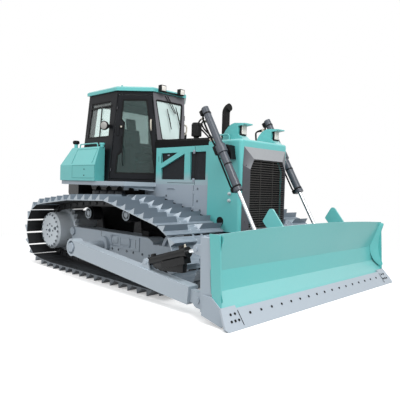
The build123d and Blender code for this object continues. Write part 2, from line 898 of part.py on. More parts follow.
# ---------------------------------------------------------------- deck and tanks
deck_half = 1215
deck_rear = -100
deck_front = 1850
deck_sheet = 14
tank_outer = deck_half + 35
tank_inner = deck_half - 280
tank_break = 1807
tank_top = 2130
tank_top_outer = tank_outer - 145
tank_front = 1060
tank_front_inner = 880
tank_rear_slope = 165
arch_count = 4
arch_radius = 90
apron_low = 1335
rib_front = deck_front - 60
rib_rear = 380
rib_y = hull_half + 420
rib_half = 6
rib_cut = 60  # how far the rib's rear end slopes
arch_step = (rib_front - rib_rear - 2 * rib_cut) / arch_count
arches = [rib_rear + rib_cut + 40 + arch_step * (i + 0.5) for i in range(arch_count)]
gusset_sheet = 12
gusset_end = deck_half - 60
skirt = 100  # what the platform keeps solid between its two hollows and its edges
with BuildPart() as deck:
    # Platform under the cab and tanks, with a folded edge along each side.
    with BuildSketch(Plane.XY.offset(deck_under)):
        with BuildLine():
            Polyline(
                (at(deck_rear), -deck_half),
                (at(deck_front), -deck_half),
                (at(deck_front), deck_half),
                (at(deck_rear), deck_half),
                close=True,
            )
        make_face()
        with BuildLine():
            Polyline(
                (at(engine_rear - seat_gap), -bay_half - seat_gap),
                (at(deck_front + past), -bay_half - seat_gap),
                (at(deck_front + past), bay_half + seat_gap),
                (at(engine_rear - seat_gap), bay_half + seat_gap),
                close=True,
            )
        make_face(mode=Mode.SUBTRACT)
    extrude(amount=deck_top - deck_under)
    with BuildSketch(Plane.XY.offset(deck_under - past)):
        for sign in SIDES.values():
            with Locations((at((deck_rear + deck_front) / 2), sign * (deck_half + hull_half) / 2)):
                Rectangle(
                    deck_front - deck_rear - 2 * deck_sheet,
                    deck_half - hull_half - 2 * deck_sheet - skirt,
                )
    extrude(amount=deck_top - deck_under - deck_sheet + past, mode=Mode.SUBTRACT)
    for sign in SIDES.values():
        # Front gusset curves down to the hull; the rib behind it has round arches over the track.
        with BuildSketch(across(rib_front)):
            with BuildLine():
                Polyline(
                    (sign * (bay_half + seat_gap), deck_under),
                    (sign * (bay_half + seat_gap), deck_under - 75),
                    (sign * (bay_half + 150), deck_under - 65),
                    (sign * (bay_half + 350), deck_under - 48),
                    (sign * gusset_end, deck_under - gusset_sheet),
                    (sign * gusset_end, deck_under),
                    close=True,
                )
            make_face()
        extrude(amount=gusset_sheet)
        with BuildSketch(upright(sign * rib_y)):
            with BuildLine():
                Polyline(
                    (at(rib_rear), deck_under),
                    (at(rib_rear + rib_cut), apron_low + 40),
                    (at(rib_front), apron_low + 55),
                    (at(rib_front), deck_under),
                    close=True,
                )
            make_face()
            with Locations([(at(station), apron_low + 25) for station in arches]):
                Circle(arch_radius, mode=Mode.SUBTRACT)
        extrude(amount=rib_half, both=True)
save(deck, "deck")

for side, sign in SIDES.items():
    with BuildPart() as side_tank:
        # Box with its upper half leaning in and its front turned back to the cab.
        with BuildSketch(Plane.YZ.offset(at(deck_rear))):
            with BuildLine():
                Polyline(
                    (sign * tank_inner, deck_top + seat_gap),
                    (sign * tank_outer, deck_top + seat_gap),
                    (sign * tank_outer, tank_break),
                    (sign * tank_top_outer, tank_top),
                    (sign * tank_inner, tank_top),
                    close=True,
                )
            make_face()
        extrude(amount=tank_front - deck_rear)
        with BuildSketch(Plane.XY.offset(deck_top)):
            with BuildLine():
                Polyline(
                    (at(tank_front_inner), sign * tank_inner),
                    (at(tank_front), sign * tank_outer),
                    (at(tank_front + past), sign * tank_outer),
                    (at(tank_front + past), sign * tank_inner),
                    close=True,
                )
            make_face()
        extrude(amount=tank_top - deck_top + past, mode=Mode.SUBTRACT)
        # The rear slopes forward above the break, as the side leans in.
        with BuildSketch(Plane.XZ):
            with BuildLine():
                Polyline(
                    (at(deck_rear), tank_break),
                    (at(deck_rear), tank_top),
                    (at(deck_rear + tank_rear_slope), tank_top),
                    close=True,
                )
            make_face()
        extrude(amount=tank_outer + past, both=True, mode=Mode.SUBTRACT)
    save(side_tank, f"side_tank_{side}")

# Round-bar handrails on the tanks and a short one on the nose, and a filler neck on the right tank.
rail_inset = 70
rail_rear = 180
rail_front = 760
rail_rise = 75
rail_radius = 11
rail_bend = 25
tank_rail_y = tank_inner + rail_inset
nose_rail_y = nose_half - 45
nose_rail = (-nose_rail_y, nose_top, nose_rear + 120, nose_rear + 360)
# Each row is y, the height of its feet and the stations of its rear and front ends.
hand_rails = [(sign * tank_rail_y, tank_top, rail_rear, rail_front) for sign in SIDES.values()]
hand_rails += [nose_rail]
with BuildPart() as handrails:
    for y, foot, start, stop in hand_rails:
        with BuildLine() as rail_line:
            Polyline(
                (at(start), y, foot + seat_gap),
                (at(start), y, foot + rail_rise - rail_bend),
                (at(start + rail_bend), y, foot + rail_rise),
                (at(stop - rail_bend), y, foot + rail_rise),
                (at(stop), y, foot + rail_rise - rail_bend),
                (at(stop), y, foot + seat_gap),
            )
        with BuildSketch(Plane(origin=rail_line.line @ 0, z_dir=(0, 0, 1))):
            Circle(rail_radius)
        sweep(transition=Transition.RIGHT)
save(handrails, "handrails")

filler_station = 900
filler_neck = (34, 38)  # radius and height
filler_lid = (46, 34)
with BuildPart() as filler_cap:
    with BuildSketch(Plane.XY.offset(tank_top + seat_gap)):
        with Locations((at(filler_station), -tank_rail_y)):
            Circle(filler_neck[0])
    extrude(amount=filler_neck[1])
    with BuildSketch(Plane.XY.offset(tank_top + filler_neck[1])):
        with Locations((at(filler_station), -tank_rail_y)):
            Circle(filler_lid[0])
    extrude(amount=filler_lid[1])
save(filler_cap, "filler_cap")

# Fuel tank across the rear, behind the cab and inside the side tanks.
rear_tank_rear = -470
rear_tank_half = tank_inner - 75
rear_tank_low = 1180
rear_tank_top = tank_top - 40
rear_tank_slopes = (90, 190)  # how far the rear runs in below and above
with BuildPart() as rear_tank:
    with BuildSketch(Plane.XZ):
        with BuildLine():
            Polyline(
                (at(rear_tank_rear + rear_tank_slopes[0]), rear_tank_low),
                (at(deck_rear - seat_gap), rear_tank_low),
                (at(deck_rear - seat_gap), rear_tank_top),
                (at(rear_tank_rear + rear_tank_slopes[1]), rear_tank_top),
                (at(rear_tank_rear), tank_break),
                (at(rear_tank_rear), rear_tank_low + 110),
                close=True,
            )
        make_face()
    extrude(amount=rear_tank_half, both=True)
    # The transmission case stands up into the tank's underside.
    with BuildSketch(Plane.XZ):
        with Locations((at(case_rear), rear_tank_low)):
            Rectangle(2 * (deck_rear - case_rear + past), 2 * (deck_under - rear_tank_low + seat_gap))
    extrude(amount=hull_half + seat_gap, both=True, mode=Mode.SUBTRACT)
save(rear_tank, "rear_tank")

# ---------------------------------------------------------------- cab
cab_foot = deck_top + seat_gap
cab_head = 3130
cab_wall = 50
cab_floor = 40
cab_middle = 900
cab_reach = 3000
foot_corners = {"rear": (60, 920), "hinge": (965, 920), "front": (1680, 275)}  # station, half width
head_rear, head_hinge = (140, 800), (1030, 800)
front_share = 0.65
door_run = foot_corners["front"][0] - foot_corners["hinge"][0]
door_turn = foot_corners["hinge"][1] - foot_corners["front"][1]
head_front = (head_hinge[0] + front_share * door_run, head_hinge[1] - front_share * door_turn)
head_corners = {"rear": head_rear, "hinge": head_hinge, "front": head_front}


def six_sides(corners):
    """The cab's plan as a closed outline, right side first."""
    right = [(at(s), -y) for s, y in corners.values()]
    return right + [(x, -y) for x, y in reversed(right)]


def cab_plane(start, end):
    """The outer face of a right-hand wall, with x forward along its foot and y up the wall."""
    foot = Vector(at(foot_corners[start][0]), -foot_corners[start][1], cab_foot)
    next_foot = Vector(at(foot_corners[end][0]), -foot_corners[end][1], cab_foot)
    head = Vector(at(head_corners[start][0]), -head_corners[start][1], cab_head)
    along = next_foot - foot
    return Plane(origin=foot, x_dir=along, z_dir=along.cross(head - foot))


door_post = 28
door_sill = 55
door_head = 70
door_gap = swing_gap
door_plane = cab_plane("hinge", "front")
side_plane = cab_plane("rear", "hinge")
front_foot = Vector(at(foot_corners["front"][0]), 0, cab_foot)
front_head = Vector(at(head_corners["front"][0]), 0, cab_head)
front_out = Vector(0, 1, 0).cross(front_head - front_foot)
front_plane = Plane(origin=front_foot, x_dir=(0, 1, 0), z_dir=front_out)
rear_foot = Vector(at(foot_corners["rear"][0]), 0, cab_foot)
rear_head = Vector(at(head_corners["rear"][0]), 0, cab_head)
rear_out = Vector(0, -1, 0).cross(rear_head - rear_foot)
rear_plane = Plane(origin=rear_foot, x_dir=(0, -1, 0), z_dir=rear_out)


def cab_solid(inset, low, high):
    """The cab's tapering block between two levels, with every wall moved inwards by an inset."""
    planes = [front_plane, rear_plane, door_plane, side_plane]
    for wall in (door_plane, side_plane):
        place = (wall.origin.X, -wall.origin.Y, wall.origin.Z)
        planes.append(Plane(origin=place, z_dir=(wall.z_dir.X, -wall.z_dir.Y, wall.z_dir.Z)))
    with BuildPart() as block:
        with Locations((at(cab_middle), 0, low)):
            Box(cab_reach, cab_reach, high - low, align=(Align.CENTER, Align.CENTER, Align.MIN))
        for plane in planes:
            split(bisect_by=plane.offset(-inset), keep=Keep.BOTTOM)
    return block.part


head_on_door = door_plane.to_local_coords(Vector(at(head_hinge[0]), -head_hinge[1], cab_head))
front_on_door = door_plane.to_local_coords(Vector(at(head_front[0]), -head_front[1], cab_head))
door_foot_length = hypot(door_run, door_turn)


def door_rim(margin, v):
    """The two ends of a level line on the door's wall, inside its posts by a margin."""
    rise = v / head_on_door.Y
    rear = head_on_door.X * rise + margin
    front = door_foot_length + (front_on_door.X - door_foot_length) * rise - margin
    return rear, front


def door_outline(margin, low, high):
    """The door's outline on its wall, inside its posts by a margin."""
    low_rear, low_front = door_rim(margin, low)
    high_rear, high_front = door_rim(margin, high)
    return [(low_rear, low), (low_front, low), (high_front, high), (high_rear, high)]


door_low = door_sill
door_high = head_on_door.Y - door_head
pane_low = door_low + 85
pane_high = door_high - 70
pane_post = door_post + 78
latch_high = pane_high - 424
latch_low = latch_high - 560
latch_width = 62
latch_slope = 60
pane_bend = latch_high - 240
bend_reach = 14
pane_outline = [
    (door_rim(pane_post, pane_low)[0], pane_low),
    (door_rim(pane_post, pane_low)[1] + 10, pane_low),
    (door_rim(pane_post, pane_bend)[1] + bend_reach, pane_bend),
    (door_rim(pane_post, pane_high)[1], pane_high),
    (door_rim(pane_post, pane_high)[0], pane_high),
    (door_rim(pane_post, latch_high + latch_slope)[0], latch_high + latch_slope),
    (door_rim(pane_post, latch_high)[0] + latch_width, latch_high),
    (door_rim(pane_post, latch_low + latch_slope)[0] + latch_width, latch_low + latch_slope),
    (door_rim(pane_post, latch_low)[0], latch_low),
]
sill = 790  # height of the window sills up the walls
pane_top = head_on_door.Y - 154
wind_top = head_on_door.Y - 114
pane_round = 45
side_pane = [(115, sill), (830, sill), (818, pane_top), (177, pane_top)]
wind_pane = [(-225, sill - 30), (225, sill - 30), (330, wind_top), (-330, wind_top)]
rear_pane = [(-700, sill + 10), (700, sill + 10), (640, pane_top), (-640, pane_top)]

with BuildPart() as half_openings:
    with BuildSketch(side_plane):
        with BuildLine():
            Polyline(*side_pane, close=True)
        make_face()
        fillet(vertices(), pane_round)
    extrude(amount=-2 * cab_wall)
    with BuildSketch(door_plane):
        with BuildLine():
            opening = door_outline(door_post - door_gap, door_low - door_gap, door_high + door_gap)
            Polyline(*opening, close=True)
        make_face()
    extrude(amount=-2 * cab_wall)

hinge_rise = cab_head - cab_foot
hinge_line = (head_hinge[0] - foot_corners["hinge"][0], foot_corners["hinge"][1] - head_hinge[1], hinge_rise)
hinge_heights = (230, door_high - 214)
hinge_stand = 15  # the pivot line stands this far outside the door's face, over its rear edge
knuckle_radius = 12
knuckle_length = 46
hinge_pin = 6
leaf_reach = 34
leaf_gap = 3  # between a leaf and the face that it stands on, filled by its bolts' washers
leaf_middle = (hinge_stand + leaf_gap) / 2
leaf_clear = 5  # between the fixed leaf and the door's edge


def hinge_plane(height):
    """A plane square to the door's pivot line, with x outwards and y forward along the door."""
    place = door_plane.from_local_coords(Vector(door_rim(door_post, height)[0], height, hinge_stand))
    return Plane(origin=place, x_dir=door_plane.z_dir, z_dir=Vector(*hinge_line))


# Fixed halves of the right door's hinges: a knuckle below, its leaf on the post and a pin upwards.
with BuildPart() as hinge_bases:
    for height in hinge_heights:
        with BuildSketch(hinge_plane(height).offset(-seat_gap)):
            Circle(knuckle_radius)
            with Locations((-leaf_middle, -(door_post + leaf_clear) / 2)):
                Rectangle(hinge_stand - leaf_gap, door_post - leaf_clear)
        extrude(amount=-knuckle_length)
        with BuildSketch(hinge_plane(height).offset(-knuckle_length / 2)):
            Circle(hinge_pin)
        extrude(amount=1.5 * knuckle_length)

with BuildPart() as cab_frame:
    add(cab_solid(0, cab_foot, cab_head))
    add(cab_solid(cab_wall, cab_foot + cab_floor, cab_head - cab_floor), mode=Mode.SUBTRACT)
    add(half_openings.part, mode=Mode.SUBTRACT)
    add(half_openings.part.mirror(Plane.XZ), mode=Mode.SUBTRACT)
    for plane, outline in ((front_plane, wind_pane), (rear_plane, rear_pane)):
        with BuildSketch(plane):
            with BuildLine():
                Polyline(*outline, close=True)
            make_face()
            fillet(vertices(), pane_round)
        extrude(amount=-2 * cab_wall, mode=Mode.SUBTRACT)
    add(hinge_bases.part)
    mirror(hinge_bases.part, about=Plane.XZ)
save(cab_frame, "cab_frame")

# Fixed glass: one pane in each wall opening, set in the middle of the wall.
pane_depth = 18
pane_sheet = 8
with BuildPart() as side_glass:
    with BuildSketch(side_plane.offset(-pane_depth)):
        with BuildLine():
            Polyline(*side_pane, close=True)
        make_face()
        fillet(vertices(), pane_round)
        offset(amount=-seat_gap)
    extrude(amount=-pane_sheet)
with BuildPart() as cab_glass:
    add(side_glass.part)
    add(side_glass.part.mirror(Plane.XZ))
    for plane, outline in ((front_plane, wind_pane), (rear_plane, rear_pane)):
        with BuildSketch(plane.offset(-pane_depth)):
            with BuildLine():
                Polyline(*outline, close=True)
            make_face()
            fillet(vertices(), pane_round)
            offset(amount=-seat_gap)
        extrude(amount=-pane_sheet)
save(cab_glass, "cab_glass")

# Doors as thick as the wall, with their own panes and an outside handle.
handle_v = latch_high - 140
handle_inset = 60
handle_width = 36
handle_length = 150
handle_rise = 22
with BuildPart() as door_right:
    with BuildSketch(door_plane):
        with BuildLine():
            Polyline(*door_outline(door_post, door_low, door_high), close=True)
        make_face()
        with BuildLine():
            Polyline(*pane_outline, close=True)
        make_face(mode=Mode.SUBTRACT)
    extrude(amount=-cab_wall)
    with BuildSketch(door_plane):
        with Locations((door_rim(door_post, handle_v)[0] + handle_inset, handle_v)):
            Rectangle(handle_width, handle_length)
    extrude(amount=handle_rise)
    for height in hinge_heights:
        with BuildSketch(hinge_plane(height)):
            Circle(knuckle_radius)
            with Locations((-leaf_middle, leaf_reach / 2)):
                Rectangle(hinge_stand - leaf_gap, leaf_reach)
        extrude(amount=knuckle_length)
        with BuildSketch(hinge_plane(height).offset(-past)):
            Circle(hinge_pin + seat_gap)
        extrude(amount=knuckle_length + 2 * past, mode=Mode.SUBTRACT)
save(door_right, "door_right")
with BuildPart() as door_left:
    mirror(door_right.part, about=Plane.XZ)
save(door_left, "door_left")
with BuildPart() as door_glass_right:
    with BuildSketch(door_plane.offset(-pane_depth)):
        with BuildLine():
            Polyline(*pane_outline, close=True)
        make_face()
        offset(amount=-seat_gap, kind=Kind.INTERSECTION)
    extrude(amount=-pane_sheet)
save(door_glass_right, "door_glass_right")
with BuildPart() as door_glass_left:
    mirror(door_glass_right.part, about=Plane.XZ)
save(door_glass_left, "door_glass_left")

roof_overhang = 34
roof_sheet = 76
roof_edge = 22
roof_eye_stations = (330, 1010)
roof_eye_y = 690
roof_eye_rise = 18
roof_eye_radius = 27
roof_eye_bore = 11
roof_eye_half = 6
with BuildPart() as cab_roof:
    with BuildSketch(Plane.XY.offset(cab_head + seat_gap)):
        with BuildLine():
            Polyline(*six_sides(head_corners), close=True)
        make_face()
        offset(amount=roof_overhang, kind=Kind.INTERSECTION)
    extrude(amount=roof_sheet)
    chamfer(cab_roof.faces().sort_by(Axis.Z)[-1].edges(), length=roof_edge)
    for station in roof_eye_stations:
        for sign in SIDES.values():
            with BuildSketch(upright(sign * roof_eye_y)):
                with Locations((at(station), cab_head + roof_sheet + roof_eye_rise)):
                    RegularPolygon(roof_eye_radius, 8)
                    Circle(roof_eye_bore, mode=Mode.SUBTRACT)
            extrude(amount=roof_eye_half, both=True)
save(cab_roof, "cab_roof")

# Two lamps on a bar across the front of the roof, and a round one behind each door post.
lamp_y = 225
lamp_size = (78, 118, 112)
lamp_bar = (20, 26)  # depth and height
lamp_rise = 12
roof_front = head_front[0] + roof_overhang + seat_gap
side_lamp = (890, 950, 2510)  # station, y and z of its rim's middle
side_lamp_radius = 78
side_lamp_turn = 0.45  # how far it faces forward for each step outwards
side_lamp_depth = 32
side_lamp_rim = 40
side_lamp_foot = (50, 60)
lean = (foot_corners["rear"][1] - head_rear[1]) / (cab_head - cab_foot)
lamp_foot_low = side_lamp[2] - side_lamp_foot[1] / 2
foot_y = foot_corners["rear"][1] - lean * (lamp_foot_low - cab_foot) + seat_gap
with BuildPart() as cab_lamps:
    for sign in SIDES.values():
        with Locations((at(roof_front), sign * lamp_y, cab_head + lamp_rise)):
            Box(*lamp_size, align=(Align.MIN, Align.CENTER, Align.MIN))
    with Locations((at(roof_front), 0, cab_head + lamp_rise)):
        Box(lamp_bar[0], 2 * lamp_y, lamp_bar[1], align=(Align.MIN, Align.CENTER, Align.MIN))
    for sign in SIDES.values():
        lamp_plane = Plane(
            origin=(at(side_lamp[0]), sign * side_lamp[1], side_lamp[2]),
            z_dir=(side_lamp_turn, sign, 0),
        )
        with BuildSketch(lamp_plane.offset(-side_lamp_depth)):
            Circle(side_lamp_radius - 14)
        extrude(amount=side_lamp_depth)
        with BuildSketch(lamp_plane):
            Circle(side_lamp_radius)
        extrude(amount=side_lamp_rim)
        with BuildSketch(upright(sign * foot_y)):
            with Locations((at(side_lamp[0]), side_lamp[2])):
                Rectangle(*side_lamp_foot)
        extrude(amount=-sign * (side_lamp[1] - foot_y - 10))
save(cab_lamps, "cab_lamps")

# Driver's seat in profile, and the consoles in front of it and beside it.
floor_top = cab_foot + cab_floor + seat_gap
seat_station = 640
seat_half = 245
with BuildPart() as seat:
    with BuildSketch(Plane.XZ):
        with BuildLine():
            Polyline(
                (at(seat_station - 200), floor_top),
                (at(seat_station + 180), floor_top),
                (at(seat_station + 150), 1960),
                (at(seat_station + 270), 1975),
                (at(seat_station + 280), 2070),
                (at(seat_station - 130), 2050),
                (at(seat_station - 230), 2560),
                (at(seat_station - 215), 2800),
                (at(seat_station - 300), 2800),
                (at(seat_station - 340), 2560),
                (at(seat_station - 260), 2000),
                close=True,
            )
        make_face()
    extrude(amount=seat_half, both=True)
save(seat, "seat")

console_half = 190
arm_console = (440, 130, 560)
arm_console_y = 350
with BuildPart() as console:
    with BuildSketch(Plane.XZ):
        with BuildLine():
            Polyline(
                (at(1240), floor_top),
                (at(1560), floor_top),
                (at(1480), 2290),
                (at(1390), 2310),
                (at(1290), 2180),
                close=True,
            )
        make_face()
    extrude(amount=console_half, both=True)
    for sign in SIDES.values():
        with Locations((at(seat_station + 60), sign * arm_console_y, floor_top)):
            Box(*arm_console, align=(Align.CENTER, Align.CENTER, Align.MIN))
save(console, "console")

# ---------------------------------------------------------------- blade
blade_reach = 180  # how far the blade stands out past the lines of the push arms
blade_half = arm_y + blade_reach
end_plate = 18
mould_sheet = 22
blade_top = 985
crown_rise = 50
edge_slope = (137, 186)  # how far the cutting edge runs back and up
edge_sheet = 28
edge_floor = 4
edge_length = hypot(*edge_slope)
edge_unit = (edge_slope[0] / edge_length, edge_slope[1] / edge_length)
tip = (edge_tip_station, edge_floor)


def on_edge(up, back):
    """A point on the cutting edge's section: up its slope from the tip, then back into the blade."""
    station = tip[0] - edge_unit[0] * up - edge_unit[1] * back
    z = tip[1] + edge_unit[1] * up - edge_unit[0] * back
    return station, z


mould_seat = edge_sheet + seat_gap
mould_rear = mould_seat + mould_sheet
mould_low = 75  # how far up the cutting edge's slope the mouldboard begins
mould_high = 275
mould_top = (edge_tip_station - 192, blade_top + crown_rise)
mould_hollow = (edge_tip_station - 322, 575)  # where the front is deepest
mould_knee = (edge_tip_station - 302, 350)
mould_front = [mould_top, mould_hollow, mould_knee]
mould_front += [on_edge(mould_high, mould_seat), on_edge(mould_low, mould_seat)]
mould_back = [
    on_edge(mould_low, mould_rear),
    on_edge(mould_high - 13, mould_rear),
    (mould_knee[0] - 23, mould_knee[1] - 6),
    (mould_hollow[0] - 24, mould_hollow[1] + 3),
    (mould_top[0] - 23, mould_top[1]),
]
end_plate_lip = [on_edge(mould_high - 3, 0), on_edge(mould_high - 3, mould_seat)]
ear_y = hoist_y + 30
ear_sheet = 26
ear_round = 44
ear_outline = [(4600, 960), (4597, 1012), (4402, 1262), (4278, 1064), (4400, 930), (4540, 740)]
with BuildPart() as mouldboard:
    with BuildSketch(Plane.XZ):
        with BuildLine():
            Polyline(*[(at(s), z) for s, z in mould_front + mould_back], close=True)
        make_face()
    extrude(amount=blade_half - end_plate, both=True)
    # The top edge is crowned: a shallow arc from end to end.
    with BuildSketch(across(mould_hollow[0])):
        with BuildLine():
            middle_top = (0, blade_top + crown_rise)
            crown = ThreePointArc((-blade_half, blade_top), middle_top, (blade_half, blade_top))
            Polyline(crown @ 1, (blade_half, 2 * blade_top), (-blade_half, 2 * blade_top), crown @ 0)
        make_face()
    extrude(amount=edge_tip_station - mould_hollow[0], mode=Mode.SUBTRACT)
    for sign in SIDES.values():
        with BuildSketch(upright(sign * (blade_half - end_plate / 2))):
            with BuildLine():
                Polyline(
                    (at(mould_hollow[0] - 35), blade_top - 5),
                    (at(mould_top[0] - 12), blade_top - 5),
                    *[(at(s), z) for s, z in end_plate_lip],
                    (at(mould_knee[0] + 25), mould_knee[1] - 50),
                    (at(mould_knee[0] + 10), mould_knee[1] - 43),
                    close=True,
                )
            make_face()
        extrude(amount=end_plate / 2, both=True)
        # Ear that shields the hoist rod, standing behind and above the top edge.
        with BuildSketch(upright(sign * ear_y)):
            with BuildLine():
                Polyline(*[(at(s), z) for s, z in ear_outline], close=True)
            make_face()
            fillet(vertices().sort_by(Axis.Y)[-1], ear_round)
            fillet(vertices().sort_by(Axis.X)[0], ear_round / 2)
        extrude(amount=ear_sheet / 2, both=True)
save(mouldboard, "mouldboard")

# Cutting edge: a long flat plate and two taller end bits that stand out past the blade.
bit_inner = blade_half - 220
bit_outer = blade_half + 75
bit_rise = 34
bit_cut = (30, 42)  # how far the bit's lower corner is cut back and up
bit_round = 20
bit_lap = 12
edge_plane = Plane(
    origin=(at(tip[0]), 0, tip[1]),
    x_dir=(0, 1, 0),
    z_dir=(edge_unit[1], 0, edge_unit[0]),
)
with BuildPart() as cutting_edge:
    with BuildSketch(edge_plane):
        Rectangle(2 * bit_inner + 2 * past, edge_length, align=(Align.CENTER, Align.MIN))
    extrude(amount=-edge_sheet)
    for sign in SIDES.values():
        with BuildSketch(edge_plane):
            with BuildLine():
                Polyline(
                    (sign * bit_inner, 0),
                    (sign * (bit_outer - bit_cut[0]), 0),
                    (sign * bit_outer, bit_cut[1]),
                    (sign * (blade_half + bit_lap), edge_length + bit_rise),
                    (sign * bit_inner, edge_length + bit_rise),
                    close=True,
                )
            make_face()
            fillet(vertices().sort_by(Axis.X)[-1 if sign > 0 else 0], bit_round)
        extrude(amount=-edge_sheet)
    with BuildSketch(Plane.XY.offset(edge_floor)):
        with Locations((at(edge_tip_station), 0)):
            Rectangle(2 * edge_length, 3 * blade_half)
    extrude(amount=-edge_length, mode=Mode.SUBTRACT)
save(cutting_edge, "cutting_edge")

# ---------------------------------------------------------------- push arms and blade frame
ball_radius = 102
ball_half = 58
ball_flat = 8
arm_bore = ball_radius + seat_gap
arm_height = 224
arm_front = (4070, 222)  # station and z of the box's front end
front_pin = (4239, 200)
front_pin_radius = 34
tongue_half = 40
tongue_radius = 74
lug_gap = 20
lug_sheet = 25
brace_ear = (3250, 500)
brace_boss = (4200, 775)
brace_pin_radius = 24
brace_eye_half = 22
brace_eye_radius = 52
ear_plate = 20
brace_ear_radius = 50
pin_end = 12
pin_slack = 12
ear_gap = 4
ear_y_middle = brace_eye_half + ear_gap + ear_plate / 2
ear_reach = brace_eye_half + ear_gap + ear_plate
arm_taper = 6
arm_head = 134
hoist_pin = (4315, 600)
hoist_trunnion = (3497, 2016)
hoist_eye_half = 25
hoist_eye_radius = 50
tilt_drift = 49
hoist_drift = 39


def drum(y, centre, radius, half):
    """A short round bar across the machine: a pin, or a rod's eye before its bore is cut."""
    with BuildPart() as bar:
        with BuildSketch(upright(y)):
            with Locations((at(centre[0]), centre[1])):
                Circle(radius)
        extrude(amount=half, both=True)
    return bar.part


def ball_reach(aside):
    """The radius of the collar's ball at a distance aside from its middle."""
    return sqrt(ball_radius**2 - aside**2)


with BuildPart() as arm_sockets:
    # Crowned collars on the two trunnions, on which the arms swing and rock.
    for sign in SIDES.values():
        x = at(trunnion_station)
        yc = sign * arm_y
        with BuildSketch(Plane.XY.offset(trunnion_z)):
            with BuildLine():
                Polyline(
                    (x + trunnion_radius + seat_gap, yc - ball_half),
                    (x + ball_reach(ball_half), yc - ball_half),
                    (x + ball_reach(ball_flat), yc - ball_flat),
                    (x + ball_reach(ball_flat), yc + ball_flat),
                    (x + ball_reach(ball_half), yc + ball_half),
                    (x + trunnion_radius + seat_gap, yc + ball_half),
                    close=True,
                )
            make_face()
        revolve(axis=Axis((at(trunnion_station), 0, trunnion_z), (0, 1, 0)))
save(arm_sockets, "arm_sockets")

arm_vector = Vector(arm_front[0] - trunnion_station, arm_front[1] - trunnion_z)
arm_length = arm_vector.length
for side, sign in SIDES.items():
    yc = sign * arm_y
    along_arm = Plane(
        origin=(at(trunnion_station), yc, trunnion_z),
        x_dir=(arm_vector.X, 0, arm_vector.Y),
        z_dir=(0, -1, 0),
    )
    slack = pin_slack if side == "right" else seat_gap
    with BuildPart() as push_arm:
        with BuildSketch(along_arm):
            with BuildLine():
                Polyline(
                    (0, -arm_height / 2),
                    (arm_length, -arm_height / 2 + arm_taper),
                    (arm_length, arm_height / 2 - arm_taper),
                    (0, arm_height / 2),
                    close=True,
                )
            make_face()
            Circle(arm_head)
        extrude(amount=arm_width / 2, both=True)
        # Tongue to the blade's pin, and a pair of ears for the tilt cylinder or brace.
        with BuildSketch(upright(yc)):
            with BuildLine():
                Polyline(
                    (at(arm_front[0] - 60), arm_front[1] - 70),
                    (at(front_pin[0]), front_pin[1] - tongue_radius),
                    (at(front_pin[0]), front_pin[1] + tongue_radius),
                    (at(arm_front[0] - 60), arm_front[1] + 80),
                    close=True,
                )
            make_face()
            with Locations((at(front_pin[0]), front_pin[1])):
                Circle(tongue_radius)
                Circle(front_pin_radius + slack, mode=Mode.SUBTRACT)
        extrude(amount=tongue_half, both=True)
        for face in (-1, 1):
            with BuildSketch(upright(yc + face * ear_y_middle)):
                with BuildLine():
                    Polyline(
                        (at(brace_ear[0] - 170), brace_ear[1] - 115),
                        (at(brace_ear[0] + 90), brace_ear[1] - 140),
                        (at(brace_ear[0] + brace_ear_radius), brace_ear[1]),
                        (at(brace_ear[0] - brace_ear_radius), brace_ear[1]),
                        close=True,
                    )
                make_face()
                with Locations((at(brace_ear[0]), brace_ear[1])):
                    Circle(brace_ear_radius)
            extrude(amount=ear_plate / 2, both=True)
        with BuildSketch(upright(yc)):
            with Locations((at(brace_ear[0]), brace_ear[1])):
                Circle(brace_pin_radius)
        extrude(amount=ear_reach + pin_end, both=True)
        # Bore that rocks on the crowned collar.
        with BuildSketch(upright(yc)):
            with Locations((at(trunnion_station), trunnion_z)):
                Circle(arm_bore)
        extrude(amount=arm_width, both=True, mode=Mode.SUBTRACT)
    save(push_arm, f"push_arm_{side}")

